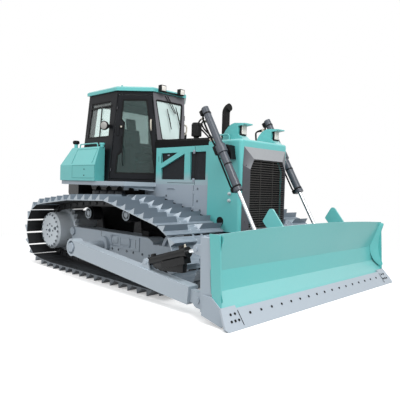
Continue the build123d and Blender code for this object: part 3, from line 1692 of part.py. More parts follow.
clevis_half = hoist_eye_half + hoist_drift
clevis_radius = 58
boss_half = brace_eye_half + tilt_drift
boss_radius = 54
lug_half = tongue_half + lug_gap
lug_radius = 88
plate = 20
box_rear = edge_tip_station - 437
box_low = 112
box_high = 382
box_fall = 20  # how far the box's floor falls forwards
box_fit = mould_rear + 1
end_box_half = 30
wear_sheet = 14
inner_rib_y = 330
outer_rib_y = 1330
clevis_middle = clevis_half + plate / 2
rib_places = [inner_rib_y, hoist_y - clevis_middle, hoist_y + clevis_middle, outer_rib_y]
with BuildPart() as blade_frame:
    with BuildSketch(Plane.XZ):
        # Closed box behind the bottom, a lighter one behind the top edge.
        with BuildLine():
            Polyline(
                (at(box_rear), box_low),
                (at(box_rear + 120), box_low - box_fall),
                *[(at(s), z) for s, z in (on_edge(85, box_fit), on_edge(230, box_fit))],
                (at(mould_knee[0] - 24), mould_knee[1] - 7),
                (at(mould_knee[0] - 27), box_high),
                (at(box_rear), box_high),
                close=True,
            )
        make_face()
        with BuildLine():
            Polyline(
                (at(mould_hollow[0] + 85), blade_top - 17),
                (at(mould_hollow[0] - 15), blade_top - 85),
                (at(mould_hollow[0] - 37), blade_top - 185),
                (at(mould_hollow[0] + 35), blade_top - 225),
                close=True,
            )
        make_face()
    extrude(amount=blade_half - end_plate - seat_gap, both=True)
    for sign in SIDES.values():
        for y in rib_places:
            with BuildSketch(upright(sign * y)):
                with BuildLine():
                    Polyline(
                        (at(box_rear), box_high - 82),
                        (at(mould_knee[0] - 27), box_high - 2),
                        (at(mould_hollow[0] - 25), mould_hollow[1] + 3),
                        (at(mould_hollow[0] + 37), blade_top - 215),
                        (at(mould_hollow[0] - 35), blade_top - 185),
                        (at(box_rear), blade_top - 345),
                        close=True,
                    )
                make_face()
            extrude(amount=plate / 2, both=True)
        # End box, and a wear plate outside it.
        with BuildSketch(upright(sign * (blade_half - end_plate - seat_gap - end_box_half))):
            with BuildLine():
                Polyline(
                    (at(box_rear - 42), box_low),
                    (at(box_rear + 4), box_low - box_fall),
                    (at(box_rear + 120), box_low - box_fall),
                    (at(mould_knee[0] - 28), mould_knee[1]),
                    (at(mould_hollow[0] - 28), mould_hollow[1] + 3),
                    (at(mould_hollow[0] + 45), blade_top - 185),
                    (at(mould_hollow[0] - 35), blade_top - 54),
                    (at(box_rear - 68), blade_top - 54),
                    (at(box_rear - 55), blade_top - 485),
                    close=True,
                )
            make_face()
        extrude(amount=end_box_half, both=True)
        with BuildSketch(upright(sign * (blade_half + seat_gap))):
            with BuildLine():
                Polyline(
                    (at(box_rear + 4), 88),
                    (at(box_rear + 23), mould_knee[1] - 39),
                    (at(mould_knee[0] + 10), mould_knee[1] - 43),
                    (at(edge_tip_station - 147), 204),
                    (at(edge_tip_station - 75), 92),
                    (at(edge_tip_station - 137), 18),
                    close=True,
                )
            make_face()
        extrude(amount=-sign * wear_sheet)
    add(mouldboard.part, mode=Mode.SUBTRACT)
    add(cutting_edge.part, mode=Mode.SUBTRACT)
save(blade_frame, "blade_frame")

# Plates welded behind the blade, two to a pin, each with the pin's round end outside it: clevises of
# the hoist rods, lugs of the push arms, and bosses of the tilt cylinder and the brace. Each row is a
# pin's centre, the plates' radius, how far from the middle they stand, their thickness, the line that
# they cover, the two points where they meet the blade's box, and the pin's radius and rise.
blade_plates = [
    (hoist_pin, clevis_radius, clevis_half, plate, hoist_y, (4440, 400), (4440, 760), 36, 16),
    (front_pin, lug_radius, lug_half, lug_sheet, arm_y, (4420, 92), (4420, 370), front_pin_radius, pin_end),
    (brace_boss, boss_radius, boss_half, plate, arm_y, (4490, 640), (4520, 860), brace_pin_radius, pin_end),
]
# Each row is the line that a pin crosses, its centre, its radius and its half length between plates.
blade_pins = [(sign * arm_y, front_pin, front_pin_radius, lug_half - seat_gap) for sign in SIDES.values()]
blade_pins += [(arm_y, brace_boss, brace_pin_radius, boss_half - seat_gap)]
with BuildPart() as blade_lugs:
    for sign in SIDES.values():
        for centre, radius, half, sheet, line_y, low, high, pin_radius, pin_rise in blade_plates:
            for face in (-1, 1):
                with BuildSketch(upright(sign * line_y + face * (half + sheet / 2))):
                    with BuildLine():
                        Polyline(
                            (at(low[0]), low[1]),
                            (at(high[0]), high[1]),
                            (at(centre[0]), centre[1] + radius),
                            (at(centre[0]), centre[1] - radius),
                            close=True,
                        )
                    make_face()
                    with Locations((at(centre[0]), centre[1])):
                        Circle(radius)
                extrude(amount=sheet / 2, both=True)
                with BuildSketch(upright(sign * line_y + face * (half + sheet))):
                    with Locations((at(centre[0]), centre[1])):
                        Circle(pin_radius)
                extrude(amount=-face * pin_rise)
    add(blade_frame.part, mode=Mode.SUBTRACT)
    add(mouldboard.part, mode=Mode.SUBTRACT)
    for y, centre, radius, half in blade_pins:
        add(drum(y, centre, radius, half))
save(blade_lugs, "blade_lugs")

brace_vector = Vector(brace_boss[0] - brace_ear[0], brace_boss[1] - brace_ear[1])
brace_length = brace_vector.length


def strut_plane(y, start, vector):
    """A plane whose z runs along a strut and whose x is level across the machine."""
    return Plane(origin=(at(start[0]), y, start[1]), x_dir=(0, 1, 0), z_dir=(vector.X, 0, vector.Y))


neck_radius = 21
neck_length = 84
neck_start = brace_eye_radius - 12
brace_radius = 32
sleeve_radius = 46
sleeve_share = 0.4  # of the brace's length
brace_plane = strut_plane(arm_y, brace_ear, brace_vector)
# Each row is where a stretch of the brace starts, its length and its radius.
brace_stretches = [
    (neck_start, brace_length - 2 * neck_start, neck_radius),
    (neck_length, brace_length - 2 * neck_length, brace_radius),
    (brace_length * (1 - sleeve_share) / 2, brace_length * sleeve_share, sleeve_radius),
]
with BuildPart() as pitch_brace:
    for start, length, radius in brace_stretches:
        with BuildSketch(brace_plane.offset(start)):
            Circle(radius)
        extrude(amount=length)
    for centre in (brace_ear, brace_boss):
        add(drum(arm_y, centre, brace_eye_radius, brace_eye_half))
    for centre in (brace_ear, brace_boss):
        with BuildSketch(upright(arm_y)):
            with Locations((at(centre[0]), centre[1])):
                Circle(brace_pin_radius + seat_gap)
        extrude(amount=arm_width, both=True, mode=Mode.SUBTRACT)
save(pitch_brace, "pitch_brace")

# Tilt cylinder on the right arm, with a hose guard under the barrel.
tilt_barrel_radius = 55
tilt_rod_radius = 26
tilt_barrel_end = 760
tilt_depth = 620
tilt_gland = (64, 60)  # radius and length
tilt_rod_start = 120  # ahead of the bore's blind end
rod_lap = 20  # how far a rod runs into its eye
guard_start = 300
guard_depth = 85
guard_lap = 10
guard_end = 40
tilt_plane = strut_plane(-arm_y, brace_ear, brace_vector)
with BuildPart() as tilt_barrel:
    with BuildSketch(tilt_plane.offset(neck_start)):
        Circle(neck_radius)
    extrude(amount=neck_length - neck_start)
    with BuildSketch(tilt_plane.offset(neck_length)):
        Circle(tilt_barrel_radius)
    extrude(amount=tilt_barrel_end - neck_length)
    with BuildSketch(tilt_plane.offset(tilt_barrel_end - tilt_gland[1])):
        Circle(tilt_gland[0])
    extrude(amount=tilt_gland[1])
    with BuildSketch(tilt_plane.offset(guard_start)):
        with Locations((0, guard_lap - tilt_barrel_radius - guard_depth / 2)):
            Rectangle(2 * tilt_barrel_radius, guard_depth)
    extrude(amount=tilt_barrel_end - guard_start - guard_end)
    add(drum(-arm_y, brace_ear, brace_eye_radius, brace_eye_half))
    with BuildSketch(upright(-arm_y)):
        with Locations((at(brace_ear[0]), brace_ear[1])):
            Circle(brace_pin_radius + seat_gap)
    extrude(amount=arm_width, both=True, mode=Mode.SUBTRACT)
    with BuildSketch(tilt_plane.offset(tilt_barrel_end)):
        Circle(tilt_rod_radius + seat_gap)
    extrude(amount=-tilt_depth, mode=Mode.SUBTRACT)
save(tilt_barrel, "tilt_barrel")

with BuildPart() as tilt_rod:
    with BuildSketch(tilt_plane.offset(tilt_barrel_end - tilt_depth + tilt_rod_start)):
        Circle(tilt_rod_radius)
    extrude(amount=brace_length - tilt_barrel_end + tilt_depth - tilt_rod_start - rod_lap)
    add(drum(-arm_y, brace_boss, brace_eye_radius, brace_eye_half))
save(tilt_rod, "tilt_rod")

# ---------------------------------------------------------------- hoist cylinders
hoist_vector = Vector(hoist_pin[0] - hoist_trunnion[0], hoist_pin[1] - hoist_trunnion[1])
hoist_length = hoist_vector.length
barrel_up = 704
barrel_down = 665
barrel_radius = 54
barrel_lower_radius = 58
hoist_rod_radius = 27
collar_radius = 76
stub_radius = 36
block_inner = nose_half + seat_gap
rod_reach = 1500
rod_bore_end = 30
hoist_gland = (66, 40)  # radius and length
collar_half = 60
block_foot = (105, 130)  # half length and depth below the trunnion
block_head = (74, 60)
block_radius = 78
block_clear = 14
stub_clear = 6
block_depth = hoist_y - collar_radius - block_inner - block_clear
with BuildPart() as hoist_blocks:
    for sign in SIDES.values():
        with BuildSketch(upright(sign * block_inner)):
            with BuildLine():
                Polyline(
                    (at(hoist_trunnion[0] - block_foot[0]), hoist_trunnion[1] - block_foot[1]),
                    (at(hoist_trunnion[0] + block_foot[0]), hoist_trunnion[1] - block_foot[1]),
                    (at(hoist_trunnion[0] + block_head[0]), hoist_trunnion[1] + block_head[1]),
                    (at(hoist_trunnion[0] - block_head[0]), hoist_trunnion[1] + block_head[1]),
                    close=True,
                )
            make_face()
            with Locations((at(hoist_trunnion[0]), hoist_trunnion[1])):
                Circle(block_radius)
        extrude(amount=-sign * block_depth)
        with BuildSketch(upright(sign * block_inner)):
            with Locations((at(hoist_trunnion[0]), hoist_trunnion[1])):
                Circle(stub_radius + seat_gap)
        extrude(amount=-sign * (block_depth + past), mode=Mode.SUBTRACT)
save(hoist_blocks, "hoist_blocks")

for side, sign in SIDES.items():
    yc = sign * hoist_y
    hoist_plane = strut_plane(yc, hoist_trunnion, hoist_vector)
    with BuildPart() as hoist_barrel:
        with BuildSketch(hoist_plane.offset(-barrel_up)):
            Circle(barrel_radius)
        extrude(amount=barrel_up)
        with BuildSketch(hoist_plane):
            Circle(barrel_lower_radius)
        extrude(amount=barrel_down)
        with BuildSketch(hoist_plane):
            Circle(collar_radius)
        extrude(amount=collar_half, both=True)
        with BuildSketch(hoist_plane.offset(barrel_down - hoist_gland[1])):
            Circle(hoist_gland[0])
        extrude(amount=hoist_gland[1])
        with BuildSketch(upright(yc)):
            with Locations((at(hoist_trunnion[0]), hoist_trunnion[1])):
                Circle(stub_radius)
        extrude(amount=sign * (hoist_y - block_inner - stub_clear))
        with BuildSketch(hoist_plane.offset(barrel_down)):
            Circle(hoist_rod_radius + seat_gap)
        extrude(amount=-(barrel_up + barrel_down - rod_bore_end), mode=Mode.SUBTRACT)
    save(hoist_barrel, f"hoist_barrel_{side}")

    with BuildPart() as hoist_rod:
        with BuildSketch(hoist_plane.offset(hoist_length - rod_reach)):
            Circle(hoist_rod_radius)
        extrude(amount=rod_reach - rod_lap)
        add(drum(yc, hoist_pin, hoist_eye_radius, hoist_eye_half))
    save(hoist_rod, f"hoist_rod_{side}")
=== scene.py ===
import math

import bmesh
import bpy
from mathutils import Matrix, Vector


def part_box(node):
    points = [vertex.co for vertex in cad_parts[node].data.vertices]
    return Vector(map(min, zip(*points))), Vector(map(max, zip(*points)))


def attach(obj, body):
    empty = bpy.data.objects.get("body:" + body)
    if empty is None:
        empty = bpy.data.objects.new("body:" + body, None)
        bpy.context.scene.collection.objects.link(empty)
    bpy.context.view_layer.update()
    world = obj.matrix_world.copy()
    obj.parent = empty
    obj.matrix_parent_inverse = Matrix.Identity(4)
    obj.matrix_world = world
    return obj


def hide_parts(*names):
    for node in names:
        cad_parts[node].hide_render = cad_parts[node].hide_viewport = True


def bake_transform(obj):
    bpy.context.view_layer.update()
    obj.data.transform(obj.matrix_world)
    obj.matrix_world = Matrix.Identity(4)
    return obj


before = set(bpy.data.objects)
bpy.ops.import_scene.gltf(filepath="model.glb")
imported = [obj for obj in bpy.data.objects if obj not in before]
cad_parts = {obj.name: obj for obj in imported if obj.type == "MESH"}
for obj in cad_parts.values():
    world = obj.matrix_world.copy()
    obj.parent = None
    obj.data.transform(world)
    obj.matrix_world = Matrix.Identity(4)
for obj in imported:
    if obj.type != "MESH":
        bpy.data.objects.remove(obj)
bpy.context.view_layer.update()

# The name of each side and the sign of its y.
SIDES = (("right", -1), ("left", 1))


def new_object(name, data):
    """Puts a new object in the scene."""
    made = bpy.data.objects.new(name, data)
    bpy.context.scene.collection.objects.link(made)
    return made


# ---------------------------------------------------------------- camera
# A standing person's eye, ahead of the right front corner of the machine.
# A mild telephoto keeps the blade's near end from looking too big.
camera_right = Vector((0.71274, 0.70081, 0.02959)).normalized()
camera_forward = Vector((-0.70027, 0.71335, -0.02760)).normalized()
camera_up = camera_right.cross(camera_forward).normalized()
camera_right = camera_forward.cross(camera_up)
camera = new_object("camera", bpy.data.cameras.new("camera"))
camera.data.lens = 41.69
camera.data.sensor_width = 36
camera.data.clip_end = 400
turn = Matrix((camera_right, camera_up, -camera_forward)).transposed().to_4x4()
camera.matrix_world = Matrix.Translation((5.7424, -5.6033, 1.4747)) @ turn
bpy.context.scene.camera = camera


# ---------------------------------------------------------------- studio
# Plain white floor and backdrop under a soft sky that is brightest overhead, with two broad lamps.
# Only the camera and reflections see pure white; the light on the machine is plain.
def linear(hex_colour):
    """An sRGB colour such as #6fc6c2 as the linear colour that a shader takes."""
    parts = [int(hex_colour[i:i + 2], 16) / 255 for i in (1, 3, 5)]
    return [c / 12.92 if c <= 0.04045 else ((c + 0.055) / 1.055) ** 2.4 for c in parts] + [1.0]


def add_node(tree, kind, sockets, **settings):
    """Adds a node with its settings; a socket takes a value, another socket or a node's first output."""
    node = tree.nodes.new(f"ShaderNode{kind}")
    for name, value in settings.items():
        setattr(node, name, value)
    for name, value in sockets.items():
        if isinstance(value, bpy.types.Node):
            value = next(output for output in value.outputs if output.enabled)
        if isinstance(value, bpy.types.NodeSocket):
            tree.links.new(value, node.inputs[name])
        else:
            node.inputs[name].default_value = value
    return node


def new_material(name):
    """A new material with an empty node tree."""
    material = bpy.data.materials.new(name)
    material.use_nodes = True
    material.node_tree.nodes.clear()
    return material


def seen_directly(tree):
    """1 for what the camera, a reflection or a pane of glass shows, and 0 for what lights the machine."""
    path = add_node(tree, "LightPath", {})
    seen = add_node(tree, "Math", {0: path.outputs["Is Camera Ray"], 1: path.outputs["Is Glossy Ray"]},
                    operation="MAXIMUM")
    return add_node(tree, "Math", {0: seen, 1: path.outputs["Is Transmission Ray"]}, operation="MAXIMUM")


sky = bpy.data.worlds.new("sky")
sky.use_nodes = True
tree = sky.node_tree
tree.nodes.clear()
direction = add_node(tree, "SeparateXYZ", {0: add_node(tree, "TexCoord", {}).outputs["Generated"]})
light = add_node(tree, "MapRange", {0: direction.outputs[2], 1: -0.1, 2: 0.9, 3: 0.42, 4: 1.1})
seen = seen_directly(tree)
lamp_share = add_node(tree, "Math", {0: 1.0, 1: seen}, operation="SUBTRACT")
lit = add_node(tree, "Math", {0: light, 1: lamp_share}, operation="MULTIPLY")
strength = add_node(tree, "Math", {0: lit, 1: seen}, operation="ADD")
backdrop = add_node(tree, "Background", {"Color": linear("#ffffff"), "Strength": strength})
add_node(tree, "OutputWorld", {"Surface": backdrop})
bpy.context.scene.world = sky
bpy.context.scene.view_settings.view_transform = "Standard"

floor_mesh = bpy.data.meshes.new("floor")
plan = bmesh.new()
bmesh.ops.create_grid(plan, x_segments=1, y_segments=1, size=60)
plan.to_mesh(floor_mesh)
plan.free()
floor = new_object("floor", floor_mesh)
# Matt paint that takes the machine's shadow, and runs out into the white of the backdrop.
floor_paint = new_material("pale_studio_floor")
tree = floor_paint.node_tree
matt = add_node(tree, "BsdfDiffuse", {"Color": linear("#a2a2a2")})
pale = add_node(tree, "BsdfDiffuse", {"Color": linear("#f4f4f4")})
glow = add_node(tree, "Emission", {"Color": linear("#ffffff"), "Strength": 0.34})
lifted = add_node(tree, "AddShader", {0: pale, 1: glow})
white = add_node(tree, "Emission", {"Color": linear("#ffffff"), "Strength": 1.0})
place = add_node(tree, "TexCoord", {})
reach = add_node(tree, "VectorMath", {0: place.outputs["Object"]}, operation="LENGTH")
far = add_node(tree, "MapRange", {0: reach, 1: 2.5, 2: 7.0}, interpolation_type="SMOOTHSTEP")
shown = add_node(tree, "MixShader", {0: far, 1: lifted, 2: white})
both = add_node(tree, "MixShader", {0: seen_directly(tree), 1: matt, 2: shown})
add_node(tree, "OutputMaterial", {"Surface": both})
floor.data.materials.append(floor_paint)

# Each row is a lamp's name, its place, its size in metres and its power in watts.
lamps = (("key_lamp", (7.0, -3.0, 8.5), 5.0, 640.0), ("side_lamp", (-1.0, -9.0, 6.0), 5.0, 160.0))
for name, spot, size, power in lamps:
    lamp = new_object(name, bpy.data.lights.new(name, "AREA"))
    lamp.data.shape = "DISK"
    lamp.data.size = size
    lamp.data.energy = power
    aim = (Vector((0, 0, 1)) - Vector(spot)).to_track_quat("-Z", "Y")
    lamp.matrix_world = Matrix.Translation(spot) @ aim.to_matrix().to_4x4()


# ---------------------------------------------------------------- hull, deck and lower covers
# The hull is welded steel plate and the covers are pressed sheet on bolts and a slot latch.
# All of it is sprayed with two-pack machine enamel, and the hull is black.
def sprayed_enamel(name, colour, roughness, dust, coat=0.0, specular=0.5, paler_upward=0.0, rise=0.35):
    """Two-pack enamel sprayed on steel: an even half-gloss colour, a slight orange peel, thin dust and, where
    asked, paler faces that look up.
    """
    paint = new_material(name)
    tree = paint.node_tree
    place = add_node(tree, "TexCoord", {})
    spot = place.outputs["Object"]
    # Clouds of dust are about 700 mm wide, and specks of it about 40 mm.
    clouds = add_node(tree, "TexNoise", {"Vector": spot, "Scale": 1 / 0.7, "Detail": 4.0, "Roughness": 0.6})
    specks = add_node(tree, "TexNoise", {"Vector": spot, "Scale": 1 / 0.04, "Detail": 3.0, "Roughness": 0.7})
    amount = add_node(tree, "Math", {0: clouds, 1: specks}, operation="MULTIPLY")
    amount = add_node(tree, "MapRange", {0: amount, 1: 0.15, 2: 0.45, 3: 0.0, 4: dust})
    # More dust settles on faces that look up; on the bezel the same pale mix is a painted highlight.
    facing = add_node(tree, "SeparateXYZ", {0: place.outputs["Normal"]})
    upward = add_node(tree, "MapRange", {0: facing.outputs[2], 1: rise, 2: 1.0, 3: 0.0, 4: paler_upward})
    amount = add_node(tree, "Math", {0: amount, 1: upward}, operation="ADD")
    tone = add_node(tree, "Mix", {0: amount, 6: linear(colour), 7: linear("#c2c6c9")}, data_type="RGBA")
    gloss = add_node(tree, "MapRange", {0: clouds, 1: 0.3, 2: 0.7, 3: roughness - 0.05, 4: roughness + 0.07})
    # Orange peel is about 3 mm across; it is drawn at 12 mm so that it shows.
    peel = add_node(tree, "TexNoise", {"Vector": spot, "Scale": 1 / 0.012, "Detail": 1.0})
    skin = add_node(tree, "Bump", {"Height": peel, "Strength": 0.06, "Distance": 0.002})
    shader = add_node(tree, "BsdfPrincipled",
                      {"Base Color": tone, "Roughness": gloss, "Normal": skin, "IOR": 1.5,
                       "Coat Weight": coat, "Coat Roughness": 0.15, "Specular IOR Level": specular})
    add_node(tree, "OutputMaterial", {"Surface": shader})
    return paint


def second_colour_over(paint, share, colour):
    """Lays a second colour over a paint's own, where its share is 1, under the same dust; on the deck's
    underside it is painted shade.
    """
    tree = paint.node_tree
    under = tree.nodes["Mix"].inputs[6]
    colours = add_node(tree, "Mix", {0: share, 6: under.default_value, 7: linear(colour)}, data_type="RGBA")
    tree.links.new(colours.outputs[2], under)


def finish(node, paint):
    """Gives a CAD node its real finish."""
    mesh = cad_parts[node].data
    for i in range(len(mesh.materials)):
        mesh.materials[i] = paint


def piece(name, shape, body, paint, smooth=30):
    """Makes an object of a bmesh, its faces turned outwards, and fixes it to a body if one is named."""
    bmesh.ops.recalc_face_normals(shape, faces=shape.faces)
    mesh = bpy.data.meshes.new(name)
    shape.to_mesh(mesh)
    shape.free()
    mesh.materials.append(paint)
    mesh.shade_smooth()
    mesh.set_sharp_from_angle(angle=math.radians(smooth))
    made = new_object(name, mesh)
    if body:
        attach(made, body)
    return made


def shift(x, y, z):
    """A matrix that moves a shape."""
    return Matrix.Translation((x, y, z))


def stand(origin, along, up):
    """A matrix that stands a shape at a point, with its x along one direction and its z along another."""
    z = Vector(up).normalized()
    y = z.cross(Vector(along)).normalized()
    return Matrix.Translation(origin) @ Matrix((y.cross(z), y, z)).transposed().to_4x4()


def edges_at(verts):
    """The edges that meet at some corners, each of them once, and in the same order at each run."""
    return list(dict.fromkeys(edge for vert in verts for edge in vert.link_edges))


def round_edges(shape, verts, edge):
    """Slightly rounds the edges that meet at some corners."""
    bmesh.ops.bevel(shape, geom=edges_at(verts), offset=edge, segments=2, profile=0.5, affect="EDGES",
                    material=-1)


def add_block(shape, size, place, edge=0.0):
    """Adds a block of a size, its middle at the matrix's origin, with its edges slightly rounded."""
    made = bmesh.ops.create_cube(shape, size=1, matrix=place @ Matrix.Diagonal((*size, 1)))
    if edge:
        round_edges(shape, made["verts"], edge)


def add_round(shape, place, rings, segments=24):
    """Adds a turned shape: each ring is its radius and its height, from the foot to the top."""
    foot = bmesh.ops.create_circle(shape, cap_ends=True, segments=segments, radius=rings[0][0],
                                   matrix=place @ shift(0, 0, rings[0][1]))
    edges = edges_at(foot["verts"])
    local = place.inverted()
    for (radius, height), (last_radius, last_height) in zip(rings[1:], rings):
        grown = bmesh.ops.extrude_edge_only(shape, edges=edges)["geom"]
        verts = [g for g in grown if isinstance(g, bmesh.types.BMVert)]
        edges = [g for g in grown if isinstance(g, bmesh.types.BMEdge)]
        bmesh.ops.translate(shape, verts=verts, vec=(0, 0, height - last_height), space=local)
        grow = radius / last_radius
        bmesh.ops.scale(shape, verts=verts, vec=(grow, grow, 1), space=local)
    bmesh.ops.contextual_create(shape, geom=edges)


def add_bolts(shape, spots, along, up, size):
    """Adds hexagon bolts of a size across their corners at each spot, with their washers."""
    for spot in spots:
        place = stand(spot, along, up)
        bmesh.ops.create_cone(shape, cap_ends=True, segments=10, radius1=size * 0.72, radius2=size * 0.68,
                              depth=size * 0.16, matrix=place @ shift(0, 0, size * 0.08))
        bmesh.ops.create_cone(shape, cap_ends=True, segments=6, radius1=size * 0.5, radius2=size * 0.44,
                              depth=size * 0.4, matrix=place @ shift(0, 0, size * 0.34))


def circle(place, radius, height, count):
    """Points evenly round a matrix's z axis, at a height above its origin."""
    turns = [2 * math.pi * i / count for i in range(count)]
    return [place @ Vector((radius * math.cos(a), radius * math.sin(a), height)) for a in turns]


def middle(node):
    """The middle of a CAD node's box."""
    low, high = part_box(node)
    return (Vector(low) + Vector(high)) / 2


axle_x = middle("sprocket_right").x


def at(station):
    """The x of a station in metres ahead of the sprockets' axle."""
    return axle_x + station


grey_enamel = sprayed_enamel("grey_machine_enamel", "#9aa6b2", 0.42, dust=0.10, coat=0.08)
black_enamel = sprayed_enamel("black_chassis_enamel", "#111214", 0.55, dust=0.01, specular=0.12)
zinc_bolts = sprayed_enamel("zinc_plated_steel", "#7d858c", 0.35, dust=0.05)
zinc_bolts.node_tree.nodes["Principled BSDF"].inputs["Metallic"].default_value = 0.8
finish("lower_covers", grey_enamel)
# Rearward of 1.40 m the deck's sill and the arched webs that hang from it are painted near black underneath,
# as painted shade under the deck.
deck_enamel = sprayed_enamel("grey_deck_enamel", "#a7b3bd", 0.42, dust=0.08, coat=0.05, specular=0.4,
                             paler_upward=0.3)
tree = deck_enamel.node_tree
height = add_node(tree, "SeparateXYZ", {0: tree.nodes["Texture Coordinate"].outputs["Object"]})
facing = add_node(tree, "SeparateXYZ", {0: tree.nodes["Texture Coordinate"].outputs["Normal"]})
low_share = add_node(tree, "MapRange", {0: height.outputs[2], 1: 1.440, 2: 1.435})
down_share = add_node(tree, "MapRange", {0: facing.outputs[2], 1: -0.3, 2: -0.6})
black_share = add_node(tree, "Math", {0: low_share, 1: down_share}, operation="MAXIMUM")
rearward = add_node(tree, "Math", {0: height.outputs[0], 1: at(1.40)}, operation="LESS_THAN")
black_share = add_node(tree, "Math", {0: black_share, 1: rearward}, operation="MULTIPLY")
second_colour_over(deck_enamel, black_share, "#0d0e0f")
finish("deck", deck_enamel)
for node in ("main_frame", "equalizer_bar", "drawbar"):
    finish(node, black_enamel)

# Dark grey boxes for the batteries and hoses fill the space behind the arches.
box_plastic = sprayed_enamel("moulded_grey_box", "#43474d", 0.5, dust=0.02, specular=0.3)
for side, sign in SIDES:
    boxes = bmesh.new()
    for s, long in ((0.54, 0.24), (0.78, 0.21), (1.01, 0.21), (1.24, 0.22)):
        add_block(boxes, (long, 0.10, 0.115), shift(at(s), sign * 0.84, 1.315), 0.03)
    piece(f"battery_boxes_{side}", boxes, "machine", box_plastic)
cover_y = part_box("lower_covers")[1][1]
cover_seam = 2.748
cover_bolts = ((1.62, 1.445), (1.62, 1.34), (2.84, 1.26), (2.84, 1.45), (2.90, 1.12), (2.12, 1.32),
               (2.55, 1.14))
grip_station = 2.23
for side, sign in SIDES:
    seam = bmesh.new()
    add_block(seam, (0.006, 0.002, 0.42), shift(at(cover_seam), sign * cover_y, 1.29))
    piece(f"cover_seam_{side}", seam, "machine", black_enamel)
    grip = bmesh.new()
    add_block(grip, (0.19, 0.008, 0.034), shift(at(grip_station), sign * (cover_y + 0.002), 1.438), 0.003)
    add_block(grip, (0.15, 0.014, 0.010), shift(at(grip_station), sign * (cover_y + 0.008), 1.450), 0.003)
    for z in (1.388, 1.15):
        add_block(grip, (0.035, 0.006, 0.05), shift(at(cover_seam), sign * (cover_y + 0.003), z), 0.002)
    piece(f"cover_latch_{side}", grip, "machine", grey_enamel)
    bolts = bmesh.new()
    add_bolts(bolts, [(at(s), sign * cover_y, z) for s, z in cover_bolts], (1, 0, 0), (0, sign, 0), 0.026)
    piece(f"cover_bolts_{side}", bolts, "machine", zinc_bolts)


# ---------------------------------------------------------------- track frames and rollers
# Each frame is a welded box of plate with guards bolted along its foot, and a hatch over the recoil spring.
# The rollers are forged steel on sealed bearings, and each carrier roller's cap has three bolts.
chassis_grey = "#a8b4bf"
frame_y = 1.282
roller_stations = [0.42 + 0.3833 * i for i in range(7)]
carrier_places = ((0.944, 0.975), (2.013, 1.010))
shade_grey = sprayed_enamel("grey_chassis_enamel", chassis_grey, 0.5, dust=0.06, specular=0.35)
frame_enamel = sprayed_enamel("grey_and_black_enamel", chassis_grey, 0.5, dust=0.06, specular=0.3)
tree = frame_enamel.node_tree
# Above 0.70 m, under the track's upper run, the frame's top and the brackets on it are near black.
height = add_node(tree, "SeparateXYZ", {0: tree.nodes["Texture Coordinate"].outputs["Object"]})
black_share = add_node(tree, "MapRange", {0: height.outputs[2], 1: 0.70, 2: 0.725})
second_colour_over(frame_enamel, black_share, "#121315")
cap_enamel = sprayed_enamel("bright_cap_enamel", "#b9c4cc", 0.35, dust=0.05, coat=0.1)
for side, sign in SIDES:
    finish(f"track_frame_{side}", frame_enamel)
    finish(f"rollers_{side}", black_enamel)
    bolts = bmesh.new()
    add_bolts(bolts, [(at(s + d), sign * frame_y, 0.45) for s in roller_stations for d in (-0.11, 0.11)],
              (1, 0, 0), (0, sign, 0), 0.03)
    piece(f"guard_bolts_{side}", bolts, "machine", zinc_bolts)
    caps = bmesh.new()
    hollows = bmesh.new()
    for s, z in carrier_places:
        face = stand((at(s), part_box(f"rollers_{side}")[1 if sign > 0 else 0].y, z), (1, 0, 0), (0, sign, 0))
        add_round(hollows, face, ((0.090, -0.01), (0.090, 0.004), (0.080, 0.005)), 32)
        add_round(caps, face, ((0.088, 0.002), (0.092, 0.016), (0.084, 0.022), (0.074, 0.018),
                               (0.072, 0.004)), 32)
        add_round(caps, face, ((0.046, 0.002), (0.046, 0.014), (0.036, 0.020), (0.018, 0.018)), 24)
        for i in range(3):
            turn = Matrix.Rotation(math.radians(120 * i + 30), 4, "Z")
            add_bolts(caps, [face @ turn @ Vector((0.059, 0, 0.004))], (1, 0, 0), (0, sign, 0), 0.016)
    piece(f"carrier_caps_{side}", caps, "machine", cap_enamel)
    piece(f"carrier_faces_{side}", hollows, "machine", black_enamel)
    # The hatch over the recoil spring is a pressed panel on four bolts, with a grease cover in it.
    hatch = bmesh.new()
    add_block(hatch, (0.50, 0.010, 0.165), shift(at(1.90), sign * (frame_y + 0.001), 0.590), 0.02)
    add_block(hatch, (0.12, 0.028, 0.10), shift(at(1.78), sign * (frame_y + 0.004), 0.600), 0.008)
    add_block(hatch, (0.20, 0.020, 0.012), shift(at(1.98), sign * (frame_y + 0.006), 0.545), 0.004)
    add_bolts(hatch, [(at(s), sign * (frame_y + 0.007), z) for s in (1.68, 2.12) for z in (0.53, 0.65)],
              (1, 0, 0), (0, sign, 0), 0.022)
    piece(f"recoil_hatch_{side}", hatch, "machine", shade_grey)
    lines = bmesh.new()
    add_block(lines, (0.005, 0.003, 0.20), shift(at(2.28), sign * (frame_y + 0.0005), 0.60))
    add_block(lines, (0.005, 0.003, 0.22), shift(at(1.36), sign * (frame_y + 0.0005), 0.59))
    piece(f"frame_seams_{side}", lines, "machine", black_enamel)

